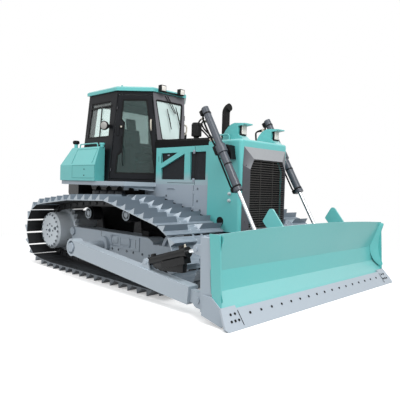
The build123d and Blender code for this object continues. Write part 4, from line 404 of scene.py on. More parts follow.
# ---------------------------------------------------------------- idlers and sprockets
# The idler is a cast wheel, and the sprocket's teeth are bolted round the final drive.
# The drive's cover is a cast dome with two rings of bolts, a plug in its middle and one near its rim.
# The sprocket's grey is painted paler than the machine's grey, as painted light against the shade of the
# track loop.
hub_enamel_with_painted_light = sprayed_enamel("grey_hub_enamel_with_painted_light", "#d2dbe2", 0.45, dust=0.08, specular=0.35)
sprocket_z = 0.610
idler_z = 0.530
idler_station = 3.150
for side, sign in SIDES:
    finish(f"sprocket_{side}", hub_enamel_with_painted_light)
    finish(f"idler_{side}", shade_grey)
    out = (0, sign, 0)
    ring = bmesh.new()
    face = stand((at(0), sign * 1.490, sprocket_z), (1, 0, 0), out)
    add_bolts(ring, circle(face, 0.285, -0.002, 20), (1, 0, 0), out, 0.03)
    add_bolts(ring, circle(face, 0.115, 0.0, 8), (1, 0, 0), out, 0.024)
    add_bolts(ring, [face @ Vector((0, 0, 0)), face @ Vector((0.2, 0.05, 0))], (1, 0, 0), out, 0.045)
    piece(f"drive_bolts_{side}", ring, "machine", zinc_bolts)

# ---------------------------------------------------------------- tracks
# Forty-two shoes of rolled steel, each bolted to a link of the sealed chain with four bolts.
# Their outer faces are sprayed and scuffed bright along the grouser, and inside the loop they are painted
# near black as painted shade.
track_paint = new_material("rolled_shoe_steel")
tree = track_paint.node_tree
place = add_node(tree, "TexCoord", {})
# The loop's middle line runs from the sprocket's axle to the idler's, and outwards is away from it.
spot = add_node(tree, "SeparateXYZ", {0: place.outputs["Object"]})
near_x = add_node(tree, "Clamp", {0: spot.outputs[0], "Min": at(0), "Max": at(idler_station)})
near_z = add_node(tree, "MapRange",
                  {0: spot.outputs[0], 1: at(0), 2: at(idler_station), 3: sprocket_z, 4: idler_z})
off_x = add_node(tree, "Math", {0: spot.outputs[0], 1: near_x}, operation="SUBTRACT")
off_z = add_node(tree, "Math", {0: spot.outputs[2], 1: near_z}, operation="SUBTRACT")
away = add_node(tree, "CombineXYZ", {0: off_x, 2: off_z})
straight = add_node(tree, "VectorMath", {0: away}, operation="NORMALIZE")
facing = add_node(tree, "VectorMath", {0: place.outputs["Normal"], 1: straight}, operation="DOT_PRODUCT")
outer = add_node(tree, "MapRange", {0: facing, 1: -0.6, 2: -0.1})
# The links are 200 mm wide in all, 1.15 m from the machine's middle, and their sides stay black.
flank = add_node(tree, "SeparateXYZ", {0: place.outputs["Normal"]})
flank = add_node(tree, "Math", {0: flank.outputs[1]}, operation="ABSOLUTE")
flank = add_node(tree, "Math", {0: flank, 1: 0.97}, operation="GREATER_THAN")
aside = add_node(tree, "Math", {0: spot.outputs[1]}, operation="ABSOLUTE")
aside = add_node(tree, "Math", {0: aside, 1: 1.15, 2: 0.11}, operation="COMPARE")
chain = add_node(tree, "Math", {0: flank, 1: aside}, operation="MULTIPLY")
outer = add_node(tree, "Math", {0: outer, 1: chain}, operation="SUBTRACT", use_clamp=True)
# Scratches are a few millimetres wide and run across the shoe; they are drawn 12 mm wide so that they show.
scratch_place = add_node(tree, "Mapping", {"Vector": place.outputs["Object"], "Scale": (80, 6, 80)})
scratches = add_node(tree, "TexNoise", {"Vector": scratch_place, "Scale": 1.0, "Detail": 3.0})
grime = add_node(tree, "TexNoise", {"Vector": place.outputs["Object"], "Scale": 1 / 0.25, "Detail": 4.0})
bright = add_node(tree, "MapRange", {0: scratches, 1: 0.35, 2: 0.7})
outer_tone = add_node(tree, "Mix", {0: bright, 6: linear("#73808c"), 7: linear("#919ca7")}, data_type="RGBA")
# Inside the loop the shoes are painted near black, as painted shade; the chain's sides take the same black as
# their own colour.
inner_shade_and_chain_black = add_node(tree, "Mix", {0: grime, 6: linear("#0c0d0e"), 7: linear("#26282b")}, data_type="RGBA")
# The faces that look along the axle, the shoes' ends and the notches in the grousers, are painted paler as a
# painted highlight, and the risers darker as painted shade.
end_highlight = add_node(tree, "SeparateXYZ", {0: place.outputs["Normal"]})
end_highlight = add_node(tree, "Math", {0: end_highlight.outputs[1]}, operation="ABSOLUTE")
end_highlight = add_node(tree, "MapRange", {0: end_highlight, 1: 0.3, 2: 0.8})
end_highlight_tone = add_node(tree, "Mix", {0: end_highlight, 6: outer_tone, 7: linear("#b3bec7")}, data_type="RGBA")
riser = add_node(tree, "MapRange", {0: facing, 1: 0.55, 2: 0.3})
riser_shade = add_node(tree, "Math", {0: riser, 1: end_highlight}, operation="SUBTRACT", use_clamp=True)
riser_shade_tone = add_node(tree, "Mix", {0: riser_shade, 6: end_highlight_tone, 7: linear("#74808b")}, data_type="RGBA")
# The shoes on the ground are painted darker, as painted shade under the machine.
ground_shade = add_node(tree, "MapRange", {0: spot.outputs[2], 1: 0.34, 2: 0.12, 3: 0.0, 4: 0.8})
ground_shade_tone = add_node(tree, "Mix", {0: ground_shade, 6: riser_shade_tone, 7: linear("#444a51")}, data_type="RGBA")
tone = add_node(tree, "Mix", {0: outer, 6: inner_shade_and_chain_black, 7: ground_shade_tone}, data_type="RGBA")
rough = add_node(tree, "MapRange", {0: grime, 1: 0.3, 2: 0.7, 3: 0.42, 4: 0.6})
skin = add_node(tree, "Bump", {"Height": scratches, "Strength": 0.15, "Distance": 0.003})
shader = add_node(tree, "BsdfPrincipled",
                  {"Base Color": tone, "Roughness": rough, "Normal": skin, "Specular IOR Level": 0.4})
add_node(tree, "OutputMaterial", {"Surface": shader})

link_steel = sprayed_enamel("oiled_link_steel", "#24272a", 0.4, dust=0.04, specular=0.4)
# A shoe's plate is found on a merged copy of the loop, and its bolts go through it into the two links.
# Each link is a forged plate with a pin's end standing from it.
bolt_steps = [(across, along) for across in (-0.082, 0.082) for along in (-0.035, 0.035)]
for side, sign in SIDES:
    finish(f"track_{side}", track_paint)
    loop = bmesh.new()
    loop.from_mesh(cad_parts[f"track_{side}"].data)
    bmesh.ops.remove_doubles(loop, verts=loop.verts, dist=1e-5)
    bmesh.ops.dissolve_limit(loop, angle_limit=math.radians(1), verts=loop.verts, edges=loop.edges)
    centre_y = middle(f"track_{side}").y
    plates = []
    for face in loop.faces:
        spread = [v.co.y for v in face.verts]
        if max(spread) - min(spread) < 0.9 or abs(face.normal.y) > 0.1:
            continue
        centre = face.calc_center_bounds()
        base = Vector((min(max(centre.x, at(0)), at(idler_station)), 0, 0))
        base.z = sprocket_z + (idler_z - sprocket_z) * (base.x - at(0)) / idler_station
        outwards = (Vector((centre.x, 0, centre.z)) - base).normalized()
        if face.normal.dot(outwards) > 0.75:
            plates.append((face.calc_area(), centre, face.normal.copy()))
    widest = max(area for area, _, _ in plates)
    bolts = bmesh.new()
    links = bmesh.new()
    for area, centre, out in plates:
        if area < 0.6 * widest:
            continue
        tangent = Vector((0, 1, 0)).cross(out)
        spots = [Vector((centre.x, centre_y + across, centre.z)) + tangent * along
                 for across, along in bolt_steps]
        add_bolts(bolts, spots, tangent, out, 0.03)
        for face_y in (-0.106, 0.106):
            towards = (0, 1 if face_y > 0 else -1, 0)
            line = stand(Vector((centre.x, centre_y + face_y, centre.z)) - out * 0.062, tangent, towards)
            add_block(links, (0.125, 0.062, 0.014), line)
            add_round(links, line @ shift(0.085, 0, 0.002), ((0.027, -0.008), (0.027, 0.010)), 10)
    loop.free()
    piece(f"shoe_bolts_{side}", bolts, "machine", shade_grey)
    piece(f"link_plates_{side}", links, "machine", link_steel)

# ---------------------------------------------------------------- engine, side panels and hood
# The panels are pressed sheet on hinges, with perforated black sheet behind their windows.
# The hood is a folded sheet sprayed black, and under it are the engine block and the radiator.
teal = "#60bcbb"
teal_enamel = sprayed_enamel("teal_machine_enamel", teal, 0.36, dust=0.05, coat=0.25, paler_upward=0.4)
panel_enamel = sprayed_enamel("teal_and_grey_enamel", teal, 0.38, dust=0.05, coat=0.2)
tree = panel_enamel.node_tree
# The panel's foot is sprayed grey over the teal, with a soft edge about 170 mm high.
height = add_node(tree, "SeparateXYZ", {0: tree.nodes["Texture Coordinate"].outputs["Object"]})
grey_share = add_node(tree, "MapRange", {0: height.outputs[2], 1: 1.72, 2: 1.55, 3: 0.0, 4: 0.85})
second_colour_over(panel_enamel, grey_share, "#a3aeb8")
rubber_black = sprayed_enamel("moulded_black_rubber", "#0c0c0d", 0.6, dust=0.01, specular=0.2)
perforated = sprayed_enamel("perforated_black_sheet", "#24262a", 0.6, dust=0.02, specular=0.15)
tree = perforated.node_tree
# Holes of 4 mm stand 6 mm apart; they are drawn 12 mm apart so that they show.
grid_place = add_node(tree, "Mapping", {"Vector": tree.nodes["Texture Coordinate"].outputs["Object"],
                                        "Rotation": (math.pi / 2, 0, 0)})
holes = add_node(tree, "TexVoronoi", {"Vector": grid_place, "Scale": 1 / 0.012, "Randomness": 0.0},
                 voronoi_dimensions="2D")
dent = add_node(tree, "MapRange", {0: holes, 1: 0.25, 2: 0.35})
sunk = add_node(tree, "Bump", {"Height": dent, "Strength": 0.5, "Distance": 0.002})
tree.links.new(sunk.outputs["Normal"], tree.nodes["Principled BSDF"].inputs["Normal"])
hood_enamel = sprayed_enamel("black_hood_enamel", "#090a0b", 0.5, dust=0.01, specular=0.10)
for node in ("engine", "radiator"):
    finish(node, black_enamel)
finish("side_meshes", perforated)
finish("hood", hood_enamel)
panel_y = abs(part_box("side_panel_right")[0].y)
# The outer faces of the perforated sheets are this far from the machine's middle.
mesh_y = 0.52
latch_x = at(2.745)
for side, sign in SIDES:
    finish(f"side_panel_{side}", panel_enamel)
    seams = bmesh.new()
    for station, low, high in ((2.768, 1.51, 2.10), (1.975, 1.86, 1.99), (1.905, 1.88, 1.97)):
        add_block(seams, (0.007, 0.003, high - low), shift(at(station), sign * panel_y, (low + high) / 2))
    add_block(seams, (0.62, 0.003, 0.006), shift(at(2.44), sign * panel_y, 1.535))
    piece(f"panel_seams_{side}", seams, "machine", rubber_black)
    latches = bmesh.new()
    add_block(latches, (0.05, 0.012, 0.02), shift(at(2.124), sign * (mesh_y + 0.004), 1.985), 0.004)
    for z in (1.58, 2.02):
        add_block(latches, (0.045, 0.006, 0.055), shift(latch_x, sign * (panel_y + 0.003), z), 0.002)
        add_bolts(latches, [(latch_x, sign * (panel_y + 0.006), z)], (1, 0, 0), (0, sign, 0), 0.02)
    piece(f"panel_latches_{side}", latches, "machine", grey_enamel)

# ---------------------------------------------------------------- exhaust and air cleaner
# The stack is bent steel tube in heat-proof black paint, and the air cleaner's hat is moulded plastic.
# A clamp band holds the stack, and two bands and twelve ribs stand out round the hat.
exhaust_paint = sprayed_enamel("heat_proof_black_paint", "#0f0e0d", 0.5, dust=0.02, specular=0.15)
moulded_black = sprayed_enamel("moulded_black_plastic", "#0e0f10", 0.5, dust=0.01, specular=0.2)
finish("exhaust", exhaust_paint)
finish("pre_cleaner", moulded_black)
low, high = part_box("pre_cleaner")
foot = Vector(((low.x + high.x) / 2, (low.y + high.y) / 2, low.z))
bands = bmesh.new()
for z in (0.085, 0.235):
    add_round(bands, shift(foot.x, foot.y, foot.z + z),
              ((0.083, -0.008), (0.0855, -0.006), (0.0855, 0.006), (0.083, 0.008)), 32)
for i in range(12):
    turn = Matrix.Rotation(math.radians(30 * i), 4, "Z")
    add_block(bands, (0.006, 0.012, 0.12), shift(foot.x, foot.y, foot.z + 0.16) @ turn
              @ shift(0.0815, 0, 0), 0.002)
piece("air_cleaner_ribs", bands, "machine", moulded_black)
low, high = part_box("exhaust")
clamp = bmesh.new()
clamp_spot = Vector((low.x + 0.05, 0, 2.30))
add_round(clamp, Matrix.Translation(clamp_spot),
          ((0.056, -0.014), (0.0605, -0.012), (0.0605, 0.012), (0.056, 0.014)), 32)
add_block(clamp, (0.03, 0.016, 0.022), Matrix.Translation(clamp_spot - Vector((0, 0.066, 0))), 0.003)
piece("exhaust_clamp", clamp, "machine", exhaust_paint)

# ---------------------------------------------------------------- nose, bezel and grille
# The nose is welded plate round the radiator, with a pressed bezel on six bolts and a grille of bars.
# Grease fittings and a round access hole are on each side of it.
# The bezel's faces that look up are painted pale grey, as a painted highlight.
bezel_enamel = sprayed_enamel("dark_grey_enamel", "#505157", 0.45, dust=0.05, specular=0.3, paler_upward=1.4,
                              rise=0.0)
finish("nose", teal_enamel)
finish("bezel", bezel_enamel)
grille_enamel = sprayed_enamel("grille_bar_enamel", "#42403e", 0.45, dust=0.04, specular=0.25, paler_upward=0.3)
finish("grille", grille_enamel)
cream_plastic = sprayed_enamel("cream_fitting_plastic", "#c9c3b4", 0.4, dust=0.03)
steel_fitting = sprayed_enamel("plated_steel_fitting", "#c3cccf", 0.3, dust=0.03)
for side, sign in SIDES:
    nose_y = sign * 0.56
    fittings = bmesh.new()
    for station, z in ((3.501, 1.394), (3.498, 1.294)):
        face = stand((at(station), nose_y, z), (1, 0, 0), (0, sign, 0))
        add_round(fittings, face, ((0.026, 0.0), (0.026, 0.01), (0.017, 0.012), (0.017, 0.032),
                                   (0.011, 0.036)), 12)
    piece(f"nose_fittings_{side}", fittings, "machine", steel_fitting)
    hole = bmesh.new()
    face = stand((at(3.33), nose_y, 0.985), (1, 0, 0), (0, sign, 0))
    add_round(hole, face, ((0.066, 0.0), (0.066, 0.004), (0.056, 0.006), (0.050, 0.001)), 32)
    piece(f"nose_plug_{side}", hole, "machine", rubber_black)
bolts = bmesh.new()
spots = [(at(3.712), y, z) for y in (-0.475, 0.475) for z in (1.80, 1.30, 1.0)]
add_bolts(bolts, spots, (0, 1, 0), (1, 0, 0), 0.03)
piece("bezel_bolts", bolts, "machine", rubber_black)

# ---------------------------------------------------------------- work lamps on the nose
# Each pod is a pressed teal hood with a rubber gasket round a moulded clear lens over a reflector.
# The lens has vertical flutes that spread the beam.
finish("lamp_pods", teal_enamel)
lamp_lens = sprayed_enamel("fluted_clear_lens", "#efece4", 0.2, dust=0.0, coat=0.5)
lens_tree = lamp_lens.node_tree
# The lens's flutes are about 11 mm wide, and it's as pale as a lens with a bright reflector is by day.
flutes = add_node(lens_tree, "TexWave",
                  {"Vector": lens_tree.nodes["Texture Coordinate"].outputs["Object"], "Scale": 1 / 0.035},
                  bands_direction="Y")
flute_bump = add_node(lens_tree, "Bump", {"Height": flutes.outputs[1], "Strength": 0.5, "Distance": 0.004})
lens_tree.links.new(flute_bump.outputs["Normal"], lens_tree.nodes["Principled BSDF"].inputs["Normal"])
for side, sign in SIDES:
    lamp = stand((at(3.588), sign * 0.402, 2.318), (0, 1, 0), (1, 0, 0))
    gasket = bmesh.new()
    add_block(gasket, (0.135, 0.160, 0.03), lamp @ shift(0, 0, -0.002), 0.012)
    piece(f"nose_lamp_gasket_{side}", gasket, "machine", rubber_black)
    lens = bmesh.new()
    add_block(lens, (0.105, 0.130, 0.02), lamp @ shift(0, 0, 0.010), 0.008)
    piece(f"nose_lamp_lens_{side}", lens, "machine", lamp_lens)

# ---------------------------------------------------------------- tanks and handrails
# The tanks are welded plate. Each side tank has a hatch with a lock, a filler neck with a black cap,
# and a rail of bent tube along its top.
black_rear = sprayed_enamel("teal_and_black_enamel", teal, 0.38, dust=0.05, coat=0.2)
tree = black_rear.node_tree
# The rear tank is sprayed black below the deck.
height = add_node(tree, "SeparateXYZ", {0: tree.nodes["Texture Coordinate"].outputs["Object"]})
black_share = add_node(tree, "MapRange", {0: height.outputs[2], 1: 1.54, 2: 1.53})
second_colour_over(black_rear, black_share, "#17181a")
finish("rear_tank", black_rear)
for node in ("side_tank_right", "side_tank_left", "handrails", "filler_cap"):
    finish(node, teal_enamel)
groove = sprayed_enamel("shut_line_shadow", "#2f7d7c", 0.6, dust=0.0, specular=0.2)


def tube(name, points, radius, body, paint, rings=4):
    """Makes a bent tube or a hose: a smooth curve along a few points, with its ends closed."""
    curve = bpy.data.curves.new(name, "CURVE")
    curve.dimensions = "3D"
    curve.bevel_depth = radius
    curve.bevel_resolution = rings
    curve.resolution_u = 6
    curve.use_fill_caps = True
    line = curve.splines.new("NURBS")
    line.points.add(len(points) - 1)
    for point, (x, y, z) in zip(line.points, points):
        point.co = (x, y, z, 1)
    line.order_u = 3
    line.use_endpoint_u = True
    curve.materials.append(paint)
    made = new_object(name, curve)
    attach(made, body)
    return made


# The tank's side is upright to the slope's foot, and leans in from there to its top.
slope_foot = 1.815
tank_top = 2.13
# Each row is a seam's middle, across and up, and its width and height.
side_seams = ((0.69, 1.797, 0.735, 0.005), (0.69, 1.578, 0.735, 0.005), (0.325, 1.688, 0.005, 0.22),
              (1.05, 1.688, 0.005, 0.22))
slope_seams = ((0, 0.13, 0.66, 0.005), (-0.33, -0.01, 0.005, 0.285), (0.33, -0.01, 0.005, 0.285))
for side, sign in SIDES:
    side_y = sign * 1.25
    slope_y = sign * 1.105
    seams = bmesh.new()
    for s, z, wide, tall in side_seams:
        add_block(seams, (wide, 0.003, tall), shift(at(s), side_y, z))
    slope = stand((at(0.62), (side_y + slope_y) / 2, (slope_foot + tank_top) / 2), (1, 0, 0),
                  (0, sign * (tank_top - slope_foot), abs(side_y - slope_y)))
    for x, y, wide, tall in slope_seams:
        add_block(seams, (wide, tall, 0.003), slope @ shift(x, -sign * y, 0))
    piece(f"tank_seams_{side}", seams, "machine", groove)
    lock = bmesh.new()
    for z in (1.624, 1.731):
        face = stand((at(0.725), side_y, z), (1, 0, 0), (0, sign, 0))
        add_round(lock, face, ((0.012, 0.0), (0.012, 0.004), (0.007, 0.005), (0.006, 0.002)), 16)
    piece(f"tank_lock_{side}", lock, "machine", rubber_black)
    neck = bmesh.new()
    neck_place = shift(at(0.02), sign * 1.0, tank_top)
    add_round(neck, neck_place, ((0.06, -0.004), (0.06, 0.012), (0.034, 0.016), (0.034, 0.085)), 24)
    piece(f"filler_neck_{side}", neck, "machine", teal_enamel)
    cap = bmesh.new()
    add_round(cap, neck_place, ((0.03, 0.08), (0.055, 0.09), (0.062, 0.105), (0.062, 0.135), (0.05, 0.15),
                                (0.02, 0.155)), 24)
    piece(f"filler_knob_{side}", cap, "machine", rubber_black)

# ---------------------------------------------------------------- cab
# The cab is welded hollow section with bonded tinted glass in rubber gaskets, under a pressed teal roof.
# Its doors are framed sheet hinged at the rear edge, and the side windows slide in thin black frames.
charcoal = "#15171b"
charcoal_enamel = sprayed_enamel("charcoal_cab_enamel", charcoal, 0.38, dust=0.01, specular=0.16)
for node in ("door_right", "door_left"):
    finish(node, charcoal_enamel)
frame_paint = sprayed_enamel("charcoal_and_grey_enamel", charcoal, 0.38, dust=0.01, specular=0.16)
tree = frame_paint.node_tree
# The cab's front wall is sprayed a paler grey than its sides.
facing = add_node(tree, "SeparateXYZ", {0: tree.nodes["Texture Coordinate"].outputs["Normal"]})
pale_share = add_node(tree, "MapRange", {0: facing.outputs[0], 1: 0.90, 2: 0.95})
second_colour_over(frame_paint, pale_share, "#6d6c71")
finish("cab_frame", frame_paint)
finish("cab_roof", teal_enamel)


def glass_with_cover(name, tint, cover_colour, share):
    """Toughened float glass with a tint, and the share of it that an opaque cover hides."""
    glass = new_material(name)
    tree = glass.node_tree
    pane = add_node(tree, "BsdfPrincipled",
                    {"Base Color": linear(tint), "Roughness": 0.0, "IOR": 1.45, "Transmission Weight": 1.0})
    cover = add_node(tree, "BsdfPrincipled", {"Base Color": linear(cover_colour), "Roughness": 0.3})
    faced = add_node(tree, "MixShader", {0: share, 1: pane, 2: cover})
    add_node(tree, "OutputMaterial", {"Surface": faced})
    return glass


# The windscreen is three quarters covered by an opaque pale surface, painted light that stands in for the
# bright backdrop seen through the cab; the side panes are not.
glass = glass_with_cover("tinted_float_glass", "#eefaf8", "#e6faf8", 0.03)
tree = glass.node_tree
forward = add_node(tree, "SeparateXYZ", {0: add_node(tree, "TexCoord", {}).outputs["Object"]})
painted_view_share = add_node(tree, "MapRange", {0: forward.outputs[0], 1: at(1.40), 2: at(1.42), 3: 0.03, 4: 0.74})
tree.links.new(painted_view_share.outputs[0], tree.nodes["Mix Shader"].inputs[0])
finish("cab_glass", glass)
# The doors have a deeper green tint, which darkens the inside and greens what shows through.
door_glass = glass_with_cover("dark_tinted_glass", "#d9efec", "#2a4543", 0.45)
for node in ("door_glass_right", "door_glass_left"):
    finish(node, door_glass)

cab_centre = Vector((at(0.75), 0, 2.3))
for node, body in (("cab_glass", "machine"), ("door_glass_right", "right_door"),
                   ("door_glass_left", "left_door")):
    panes = bmesh.new()
    panes.from_mesh(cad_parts[node].data)
    bmesh.ops.remove_doubles(panes, verts=panes.verts, dist=1e-5)
    bmesh.ops.dissolve_limit(panes, angle_limit=math.radians(1), verts=panes.verts, edges=panes.edges)
    outer = [face for face in panes.faces
             if face.calc_area() > 0.08 and face.normal.dot(face.calc_center_bounds() - cab_centre) > 0.1]
    bmesh.ops.delete(panes, geom=[face for face in panes.faces if face not in outer], context="FACES")
    faces = list(panes.faces)
    bmesh.ops.inset_individual(panes, faces=faces, thickness=0.026, use_even_offset=True)
    bmesh.ops.delete(panes, geom=faces, context="FACES")
    pushed = {v: sum((f.normal for f in v.link_faces), Vector()).normalized() for v in panes.verts}
    grown = bmesh.ops.extrude_face_region(panes, geom=list(panes.faces), use_keep_orig=True)["geom"]
    for vert in (g for g in grown if isinstance(g, bmesh.types.BMVert)):
        home = min(pushed, key=lambda v: (v.co - vert.co).length)
        vert.co += pushed[home] * 0.012
    piece(f"{node}_gasket", panes, body, rubber_black)

# The side windows lean in by 120 mm over the cab's height; a sliding pane's frame crosses each of them.
for side, sign in SIDES:
    wall = stand((at(0.585), sign * 0.836, 2.60), (1, 0, 0), (0, sign * 1.6, 0.12))
    bars = bmesh.new()
    add_block(bars, (0.68, 0.030, 0.016), wall @ shift(-0.01, -sign * 0.275, 0.0), 0.003)
    add_block(bars, (0.026, 0.54, 0.014), wall, 0.003)
    add_block(bars, (0.05, 0.012, 0.02), wall @ shift(0.03, 0.05, 0.008), 0.003)
    piece(f"window_frame_{side}", bars, "machine", rubber_black)

# ---------------------------------------------------------------- door fittings
# Each door has a push-button lock, a long grab bar inside the pane's edge and a grip on its front edge.
# The roof lamps are moulded boxes with fluted lenses, and the side lamps are round with smoked ones.
finish("cab_lamps", moulded_black)
dull_lens = sprayed_enamel("smoked_lamp_lens", "#9d9c98", 0.25, dust=0.05, coat=0.4)
# Each row of a bar is its station, its y, its height and how far it stands off the door.
bar_line = ((1.112, 0.760, 2.33, -0.004), (1.112, 0.760, 2.31, 0.045), (1.120, 0.757, 2.25, 0.055),
            (1.150, 0.735, 2.08, 0.055), (1.150, 0.737, 1.90, 0.055), (1.152, 0.738, 1.84, 0.045),
            (1.152, 0.738, 1.82, -0.004))
grip_line = ((1.492, 0.405, 2.63, -0.004), (1.494, 0.404, 2.625, 0.035), (1.496, 0.403, 2.56, 0.045),
             (1.499, 0.402, 2.46, 0.035), (1.500, 0.402, 2.45, -0.004))
for side, sign in SIDES:
    body = f"{side}_door"
    out = Vector((0.669, sign * 0.742, 0.045)).normalized()
    lock_face = stand((at(1.108), sign * 0.757, 2.498), (0, 0, 1), out)
    lock = bmesh.new()
    add_round(lock, lock_face, ((0.036, -0.004), (0.036, 0.012), (0.030, 0.016), (0.020, 0.012)), 20)
    piece(f"door_lock_{side}", lock, body, rubber_black)
    button = bmesh.new()
    add_round(button, lock_face, ((0.016, 0.010), (0.015, 0.018), (0.010, 0.020)), 16)
    piece(f"door_button_{side}", button, body, cream_plastic)
    tube(f"door_grab_bar_{side}", [Vector((at(s), sign * y, z)) + out * rise for s, y, z, rise in bar_line],
         0.008, body, rubber_black)
    tube(f"door_grip_{side}", [Vector((at(s), sign * y, z)) + out * rise for s, y, z, rise in grip_line],
         0.014, body, cream_plastic)
    # The roof lamps look forward; the round ones look aside and a little forward.
    roof_lamp = stand((at(1.607), sign * 0.225, 3.198), (0, 1, 0), (1, 0, 0))
    lens = bmesh.new()
    add_block(lens, (0.094, 0.088, 0.012), roof_lamp @ shift(0, 0, 0.002), 0.005)
    piece(f"roof_lamp_lens_{side}", lens, "machine", lamp_lens)
    round_lamp = stand(Vector((at(0.890), sign * 0.950, 2.510)), (1, -0.45 * sign, 0), (0.45, sign, 0))
    dome = bmesh.new()
    add_round(dome, round_lamp, ((0.068, 0.038), (0.066, 0.044), (0.050, 0.050), (0.025, 0.053)), 32)
    piece(f"side_lamp_lens_{side}", dome, "machine", dull_lens)
    rim = bmesh.new()
    add_round(rim, round_lamp, ((0.078, 0.030), (0.080, 0.042), (0.074, 0.048), (0.068, 0.046),
                                (0.067, 0.036)), 32)
    piece(f"side_lamp_rim_{side}", rim, "machine", moulded_black)

# ---------------------------------------------------------------- wipers
# Each wiper is a thin painted arm from a pivot over the windscreen, with a rubber blade.
# The two of them hang down over the pane, one on each side of its middle.
arms = (("near", ((1.505, -0.105, 3.10), (1.535, -0.03, 2.98), (1.566, 0.085, 2.80))),
        ("far", ((1.505, -0.045, 3.10), (1.538, 0.03, 2.97), (1.566, 0.115, 2.80))))
for name, line in arms:
    points = [(at(s), y, z) for s, y, z in line]
    tube(f"wiper_arm_{name}", points, 0.007, "machine", rubber_black)
blades = bmesh.new()
for ends in (((1.594, 0.205, 2.57), (1.555, 0.115, 2.92)), ((1.604, -0.02, 2.50), (1.556, -0.09, 2.86))):
    low_end, high_end = (Vector((at(s), y, z)) for s, y, z in ends)
    along = high_end - low_end
    place = stand((low_end + high_end) / 2, along, Vector((0, 1, 0)).cross(along))
    add_block(blades, (along.length, 0.016, 0.010), place, 0.003)
    add_block(blades, (along.length * 0.5, 0.010, 0.014), place @ shift(0, 0, 0.008), 0.003)
piece("wiper_blades", blades, "machine", rubber_black)

# ---------------------------------------------------------------- driver's seat
# Two foam cushions and a headrest in woven black cloth with sewn channels, on a rubber bellows.
# Each pad is a smaller block blown up by a cloth simulation, and its channels are pressed in afterwards.
woven = new_material("woven_seat_cloth")
tree = woven.node_tree
place = add_node(tree, "TexCoord", {})
# Threads are about 1 mm apart; the weave is drawn 5 mm apart so that it shows.
warp = add_node(tree, "TexWave", {"Vector": place.outputs["Object"], "Scale": 63.0, "Distortion": 0.5},
                bands_direction="Y")
weft = add_node(tree, "TexWave", {"Vector": place.outputs["Object"], "Scale": 63.0, "Distortion": 0.5},
                bands_direction="Z")
weave = add_node(tree, "Math", {0: warp.outputs["Fac"], 1: weft.outputs["Fac"]}, operation="MULTIPLY")
fade = add_node(tree, "TexNoise", {"Vector": place.outputs["Object"], "Scale": 1 / 0.12, "Detail": 4.0})
threads = add_node(tree, "Math", {0: weave, 1: fade}, operation="MULTIPLY")
tone = add_node(tree, "Mix", {0: threads, 6: linear("#1d2223"), 7: linear("#3f4a4a")}, data_type="RGBA")
relief = add_node(tree, "Bump", {"Height": weave, "Strength": 0.35, "Distance": 0.0015})
shader = add_node(tree, "BsdfPrincipled",
                  {"Base Color": tone, "Roughness": 0.85, "Sheen Weight": 0.25, "Specular IOR Level": 0.25,
                   "Normal": relief})
add_node(tree, "OutputMaterial", {"Surface": shader})


def cushion(name, size, place, swell, channels):
    """Makes a stuffed pad: a smaller block, blown up, with channels pressed into its top."""
    shape = bmesh.new()
    add_block(shape, [side - swell * 1.2 for side in size], Matrix.Identity(4), min(size) * 0.36)
    mesh = bpy.data.meshes.new(name)
    shape.to_mesh(mesh)
    shape.free()
    pad = new_object(name, mesh)
    even = pad.modifiers.new("even_faces", "REMESH")
    even.mode = "VOXEL"
    even.voxel_size = 0.008
    bpy.context.view_layer.update()
    mesh = bpy.data.meshes.new_from_object(pad.evaluated_get(bpy.context.evaluated_depsgraph_get()))
    pad.modifiers.clear()
    pad.data = mesh
    rest = [vert.co.copy() for vert in mesh.vertices]
    stuffing = pad.modifiers.new("stuffing", "CLOTH")
    stuffing.settings.quality = 4
    stuffing.settings.use_pressure = True
    stuffing.settings.uniform_pressure_force = 4.0
    stuffing.settings.effector_weights.gravity = 0.0
    last_frame = 20
    stuffing.point_cache.frame_start = 1
    stuffing.point_cache.frame_end = last_frame
    for step in range(1, last_frame + 1):
        bpy.context.scene.frame_set(step)
    blown = bpy.data.meshes.new_from_object(pad.evaluated_get(bpy.context.evaluated_depsgraph_get()))
    moves = [vert.co - home for vert, home in zip(blown.vertices, rest)]
    pad.modifiers.clear()
    bpy.context.scene.frame_set(1)
    for vert, home, move in zip(mesh.vertices, rest, moves):
        vert.co = home + (move.normalized() * min(move.length, swell) if move.length else move)
    # A channel is 12 mm deep, and there is one along each side besides those that cross the pad.
    width = 0.007
    rows = (-size[1] * 0.30, size[1] * 0.30)
    for vert in mesh.vertices:
        if vert.co.z > 0:
            sink = sum(math.exp(-((vert.co.x - x) / width) ** 2) for x in channels)
            sink += sum(math.exp(-((vert.co.y - y) / width) ** 2) for y in rows)
            vert.co.z -= 0.012 * min(sink, 1.0)
    mesh.transform(place)
    mesh.materials.clear()
    mesh.materials.append(woven)
    mesh.shade_smooth()
    finer = pad.modifiers.new("finer", "SUBSURF")
    finer.levels = finer.render_levels = 1
    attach(pad, "machine")
    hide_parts("seat")
    return pad


